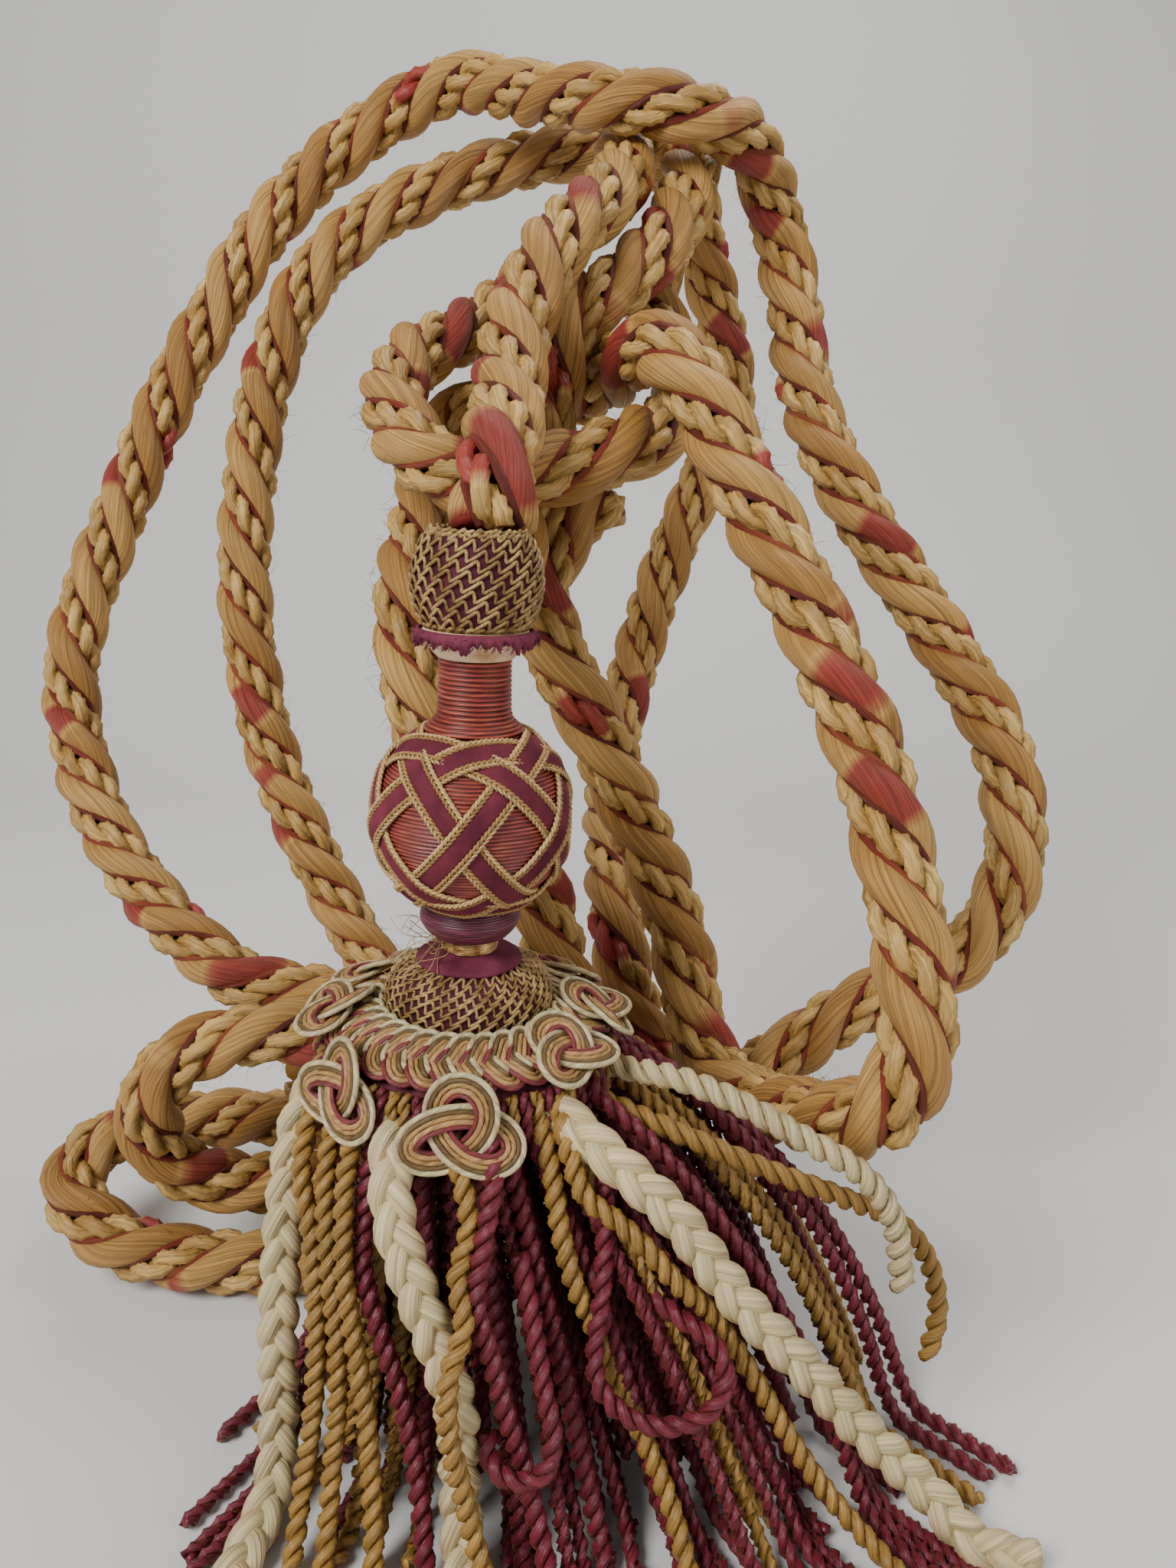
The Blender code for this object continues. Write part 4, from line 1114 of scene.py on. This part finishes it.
def cord_line(root_x, root_y, tip=None, spread=1.0):
    """One plain cord, from its root down to where it ends, whose reach is largest on the right:
    (1 - s)^2 * root + 2 * s * (1 - s) * knee + s^2 * foot. The outer cords in front bend and lie
    along the surface. A cord that fills a gap hangs to where a cord rooted at tip would."""
    tip_x, tip_y = tip or (root_x, root_y)
    swing_x = spread * (SWING_RIGHT if tip_x > 0 else SWING_LEFT) * tip_x + tip_x - root_x
    forward = SWING_FRONT * tip_y if tip_y < 0 else 0.0
    swing_y = spread * (forward - SWING_BACK * max(tip_x, 0.0)) + tip_y - root_y
    wave = 2.2 * math.sin(root_x * 1.7 + root_y * 2.3)
    rest = SURFACE + CORD_RADIUS * 0.5
    outer = math.hypot(tip_x, tip_y) > (OUTER_FILLERS if tip else OUTER_ROOTS)
    foot = rest + 7 if outer else rest + 8 + 5 * (1 + math.sin(root_x * 0.9 - root_y * 1.3))
    droop = 0.30 + 0.35 * max(tip_x, 0.0) / SKIRT_RADIUS
    knee = (root_x + droop * swing_x + wave * 0.4, root_y + droop * swing_y,
            SKIRT_ROOT - (0.52 - 0.22 * max(tip_x, 0.0) / SKIRT_RADIUS) * (SKIRT_ROOT - foot))
    s = np.linspace(0.0, 1.0, CORD_STEPS + 1)[:, None]
    line = ((1 - s) ** 2 * np.array((root_x, root_y, SKIRT_ROOT)) + 2 * s * (1 - s) * np.array(knee)
            + s * s * np.array((root_x + swing_x, root_y + swing_y, foot)))
    if outer and tip_y < 18:
        lean = (0.9 if tip_x > 0 else 0.55) * tip_x / SKIRT_RADIUS
        ahead = np.array((lean, -1.0)) / math.hypot(lean, 1)
        tail = 42.0 + 14.0 * max(-tip_y, 0.0) / SKIRT_RADIUS + 4.0 * math.sin(tip_x + tip_y)
        if tip:
            room = (root_y + swing_y + AXIS_Y - FRONT_REACH) / -ahead[1]
            beyond = math.hypot(tip_x, tip_y) - OUTER_FILLERS
            tail = max(9.0, min(tail, 10.0 + 2.6 * beyond, room))
        for along, drop in ((8.0, 6.4), (0.55 * tail, 7.0), (tail, 7.0)):
            line = np.vstack([line, (line[CORD_STEPS, :2] + ahead * along).tolist() + [foot - drop]])
    line = line + (AXIS_X, AXIS_Y, 0.0)
    drift = hung((root_x, root_y, SKIRT_ROOT)) - line[0]
    return line + drift * np.clip(1 - np.arange(len(line)) / 4, 0, 1)[:, None]


def fine(line):
    """The same line with three points for each one."""
    spots = np.arange(len(line))
    at = np.linspace(0, len(line) - 1, 3 * len(line))
    return np.column_stack([np.interp(at, spots, line[:, k]) for k in range(3)])


def plain_cords():
    """Plain cords that clear the leaving cords, the ropes and each other, then as many thinner ones
    as press in between them, from roots spread like seeds on a sunflower. Two cords are clear where
    their centre lines keep both radii and a little more apart, below the skirt's disc. The last ones
    come from the skirt's middle and are tested only where they show, near the surface."""
    taken = np.zeros((0, 3))
    sizes = np.zeros(0)
    cords = []
    level = SKIRT_ROOT - 3

    def below(line):
        """Its points below the level where cords have to be clear."""
        points = fine(line)
        return points[points[:, 2] < level]

    def free(line, radius, spare):
        """Whether a cord keeps its radius and spare from all that are taken."""
        apart = np.linalg.norm(below(line)[:, None] - taken[None], axis=2) - sizes[None]
        return apart.min() > radius + spare

    def take(line, radius):
        """Note the space that a cord fills."""
        nonlocal taken, sizes
        spots = below(line)
        taken = np.vstack([taken, spots])
        sizes = np.append(sizes, np.full(len(spots), radius))

    def hang(line, radius, spare, bearing, thick):
        """Keep a cord if it is free."""
        if free(line, radius, spare) and line[:, 1].min() > FRONT_REACH - 5:
            take(line, radius)
            cords.append((line, radius, bearing, thick))

    def fill(bearing, root_radius, reach, spread, spare):
        """Hang a thin cord that is rooted inside and ends where one rooted at reach would."""
        spoke = np.array((math.cos(bearing), math.sin(bearing)))
        line = cord_line(*(spoke * root_radius), tuple(spoke * reach), spread)
        hang(line, FILLER_RADIUS, spare, bearing, False)

    for radius, route in LEAVING_CORDS.values():
        take(smooth_route(route, 13.0), radius)
    for route in (FRONT_ROPE, LONG_ROPE):
        take(smooth_route(route, 8.0), ROPE_CLEARANCE)
    for radius in ROOT_RADII:
        count = int(2 * math.pi * radius / ROOT_SPACING)
        for k in range(count):
            bearing = 2 * math.pi * (k + 0.5 * (radius < OUTER_ROOTS)) / count + 0.031
            line = cord_line(radius * math.cos(bearing), radius * math.sin(bearing))
            hang(line, CORD_RADIUS, 0.5, bearing, radius > OUTER_ROOTS)
    for _, route in FRONT_CORDS:
        take(smooth_route(route, 9.0), CORD_RADIUS)
    for k in range(RIM_CORDS):
        bearing = -math.pi + 2 * math.pi * (k + 0.3) / RIM_CORDS
        if min(abs(bearing - GIMP_KNOTS[node][0]) for node in ("gimp_knot_front", "gimp_knot_left")) > 0.30:
            rim = bearing_axes(bearing)[0]
            spread = 0.95 + 0.08 * math.sin(3.3 * k)
            line = cord_line(rim[0] * RIM_REACH, rim[1] * RIM_REACH, None, spread)
            start = [hung(rim * reach + (0, 0, height))
                     for reach, height in ((44.6, -359.2), (48.2, -360.2))]
            hang(np.vstack([start, line]), RIM_CORD_RADIUS, -0.9, bearing, True)
    for seed in range(FILLER_TRIES):
        reach = 51.0 - 21.0 * seed / FILLER_TRIES
        root_radius = reach - 6.0 - 14.0 * ((seed * PLASTIC_SHARE) % 1.0)
        fill(seed * GOLDEN_ANGLE, root_radius, reach, 0.80 + 0.34 * ((seed * PLASTIC_SQUARE) % 1.0), -1.5)
    level = -440.0
    for seed in range(FRONT_TRIES):
        bearing = -math.pi * (0.08 + 0.86 * ((seed * GOLDEN_SHARE) % 1.0))
        root_radius = 12.0 + 20.0 * ((seed * PLASTIC_SHARE) % 1.0)
        fill(bearing, root_radius, 50.0 - 20.0 * seed / FRONT_TRIES, 0.9, -1.0)
    return cords


def plied(line, radius, pitch, dye_and_gap_shade, sides, step, start=0.0):
    """Two plies twisted to the right round a line, one turn in each pitch, from the angle start."""
    path = even_steps(line, step)
    run = distance_along(path)
    yarn = radius * 0.52
    strands = []
    for ply in range(2):
        angle = start + 2 * math.pi * (ply / 2 + run / pitch)
        centre, spoke = wound_round(path, angle, radius - yarn)
        strands.append(strand(bar(centre, spoke, yarn * 1.04, sides), run, dye_and_gap_shade))
    return strands


def plaited(line, radius, dye_and_gap_shade, sides=9, step=1.5):
    """A round plait of three fat yarns: each swings side to side by sin t and in and out by sin 2t."""
    path = even_steps(line, step)
    run = distance_along(path)
    toward = np.array(CAMERA_PLACE) - path
    ahead = unit(np.gradient(path, axis=0))
    front, across = square_to(ahead, toward)
    strands = []
    for ply in range(3):
        t = 2 * math.pi * (run / (radius * 5.4) + ply / 3)
        offset = (across * (radius * 0.56 * np.sin(t))[:, None]
                  + front * (radius * 0.34 * np.sin(2 * t))[:, None])
        outward = unit(offset + front * 0.3 * radius)
        strands.append(strand(bar(path + offset, outward, radius * 0.54, sides), run, dye_and_gap_shade))
    return strands


GOLD_CORD = 0.0
CREAM_CORD = 0.5
CRIMSON_CORD = 1.0
cord_silk = yarn_material("cord_silk", [(0.0, linear(160, 122, 60)), (0.5, linear(204, 182, 134)),
                                        (1.0, linear(112, 34, 48))],
                          0.08, 18.0, 0.04, 0.36, 0.6, shade=(0.5, 1.4))
plait_silk = yarn_material("plait_silk", [(0.0, linear(160, 122, 60)), (0.5, linear(206, 186, 140)),
                                          (1.0, linear(112, 34, 48))],
                           0.03, 24.0, 0.012, 0.42, 0.9, 0.5, (0.55, 1.35))
leaving = []
for name, (radius, route) in LEAVING_CORDS.items():
    line = smooth_route(route, 2.0)
    if name.startswith("plait"):
        leaving.extend(plaited(line, radius + 0.6, CREAM_CORD))
    else:
        dye_and_gap_shade = CREAM_CORD if name == "cream_cord" else GOLD_CORD
        leaving.extend(plied(line, radius, 13.0, dye_and_gap_shade, 8, 1.3))
leaving_piece = strand_mesh("leaving_cords", leaving, plait_silk)
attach(leaving_piece, "root")

outer_cords = []
filling_cords = [[], []]
for number, (line, radius, bearing, thick) in enumerate(plain_cords()):
    gold_share = 0.66 if math.cos(bearing) < -0.25 else 0.16
    if not thick:
        gold_share *= 0.5
    dye_and_gap_shade = CRIMSON_CORD if (number * GOLDEN_SHARE) % 1.0 > gold_share else GOLD_CORD
    path = smooth_route(line, 2.0)
    path[:, 2] = np.maximum(path[:, 2], SURFACE + radius)
    sides, step = (6, 1.85) if thick else (5, 2.8)
    made = plied(path, radius + 0.15, 11.5 + 0.6 * (number % 3), dye_and_gap_shade, sides, step, number * 1.3)
    (outer_cords if thick else filling_cords[number % 2]).extend(made)


# Cords that curl back on themselves in front of the rest
CURLS = (
    ((63, -284, -385), (63, -290, -397), (62, -298, -414), (60, -304, -428), (61, -308, -437),
     (69, -311, -445), (79, -312, -448), (92, -311, -445), (98, -307, -436), (95, -302, -428),
     (84, -296, -423), (70, -288, -417)),
    ((38, -295, -403), (42, -303, -420), (45, -310, -435), (48, -316, -449), (44, -319, -459),
     (36, -319, -460), (30, -316, -457), (29, -309, -453)),
)
front_cords = []
for route in CURLS:
    front_cords.extend(plied(smooth_route(route, 1.5), CORD_RADIUS - 0.2, 12.0, CRIMSON_CORD, 8, 1.2))
for yarn, route in FRONT_CORDS:
    dye_and_gap_shade = GOLD_CORD if yarn == "gold" else CRIMSON_CORD
    front_cords.extend(plied(smooth_route(route, 1.5), CORD_RADIUS + 0.1, 11.8, dye_and_gap_shade, 8, 1.35))


# The heads of the cords, side by side where they come out from under the gimp
for k in range(HEAD_CORDS):
    rim = bearing_axes(2 * math.pi * k / HEAD_CORDS)[0]
    line = hung(np.stack([rim * reach + (0, 0, height) for reach, height in
                          ((44.9, -357.3), (47.4, -359.8), (47.9, -363.5), (47.2, -369.5))]))
    dye_and_gap_shade = CRIMSON_CORD if (k * GOLDEN_SHARE) % 1.0 > (0.55 if rim[0] < -0.2 else 0.35) else GOLD_CORD
    front_cords.extend(plied(smooth_route(line, 1.5), 2.15, 11.0, dye_and_gap_shade, 6, 1.5, k * 1.1))
front_piece = strand_mesh("front_cords", front_cords, cord_silk)
outer_piece = strand_mesh("outer_cords", outer_cords, cord_silk)
inner_pieces = [strand_mesh("inner_cords_%d" % (k + 1), cords, cord_silk)
                for k, cords in enumerate(filling_cords)]
disc_velvet = velvet_material("disc_velvet", linear(84, 34, 44), linear(110, 56, 62))
disc_outline = [(24.6, SKIRT_TOP), (28.4, -349.8), (44.6, -358.4), (47.0, -361.2), (46.4, -366.6)]
disc = turned("skirt_disc", disc_outline, 72, disc_velvet)
for piece in (outer_piece, front_piece, *inner_pieces, disc):
    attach(piece, "root")
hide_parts("skirt")
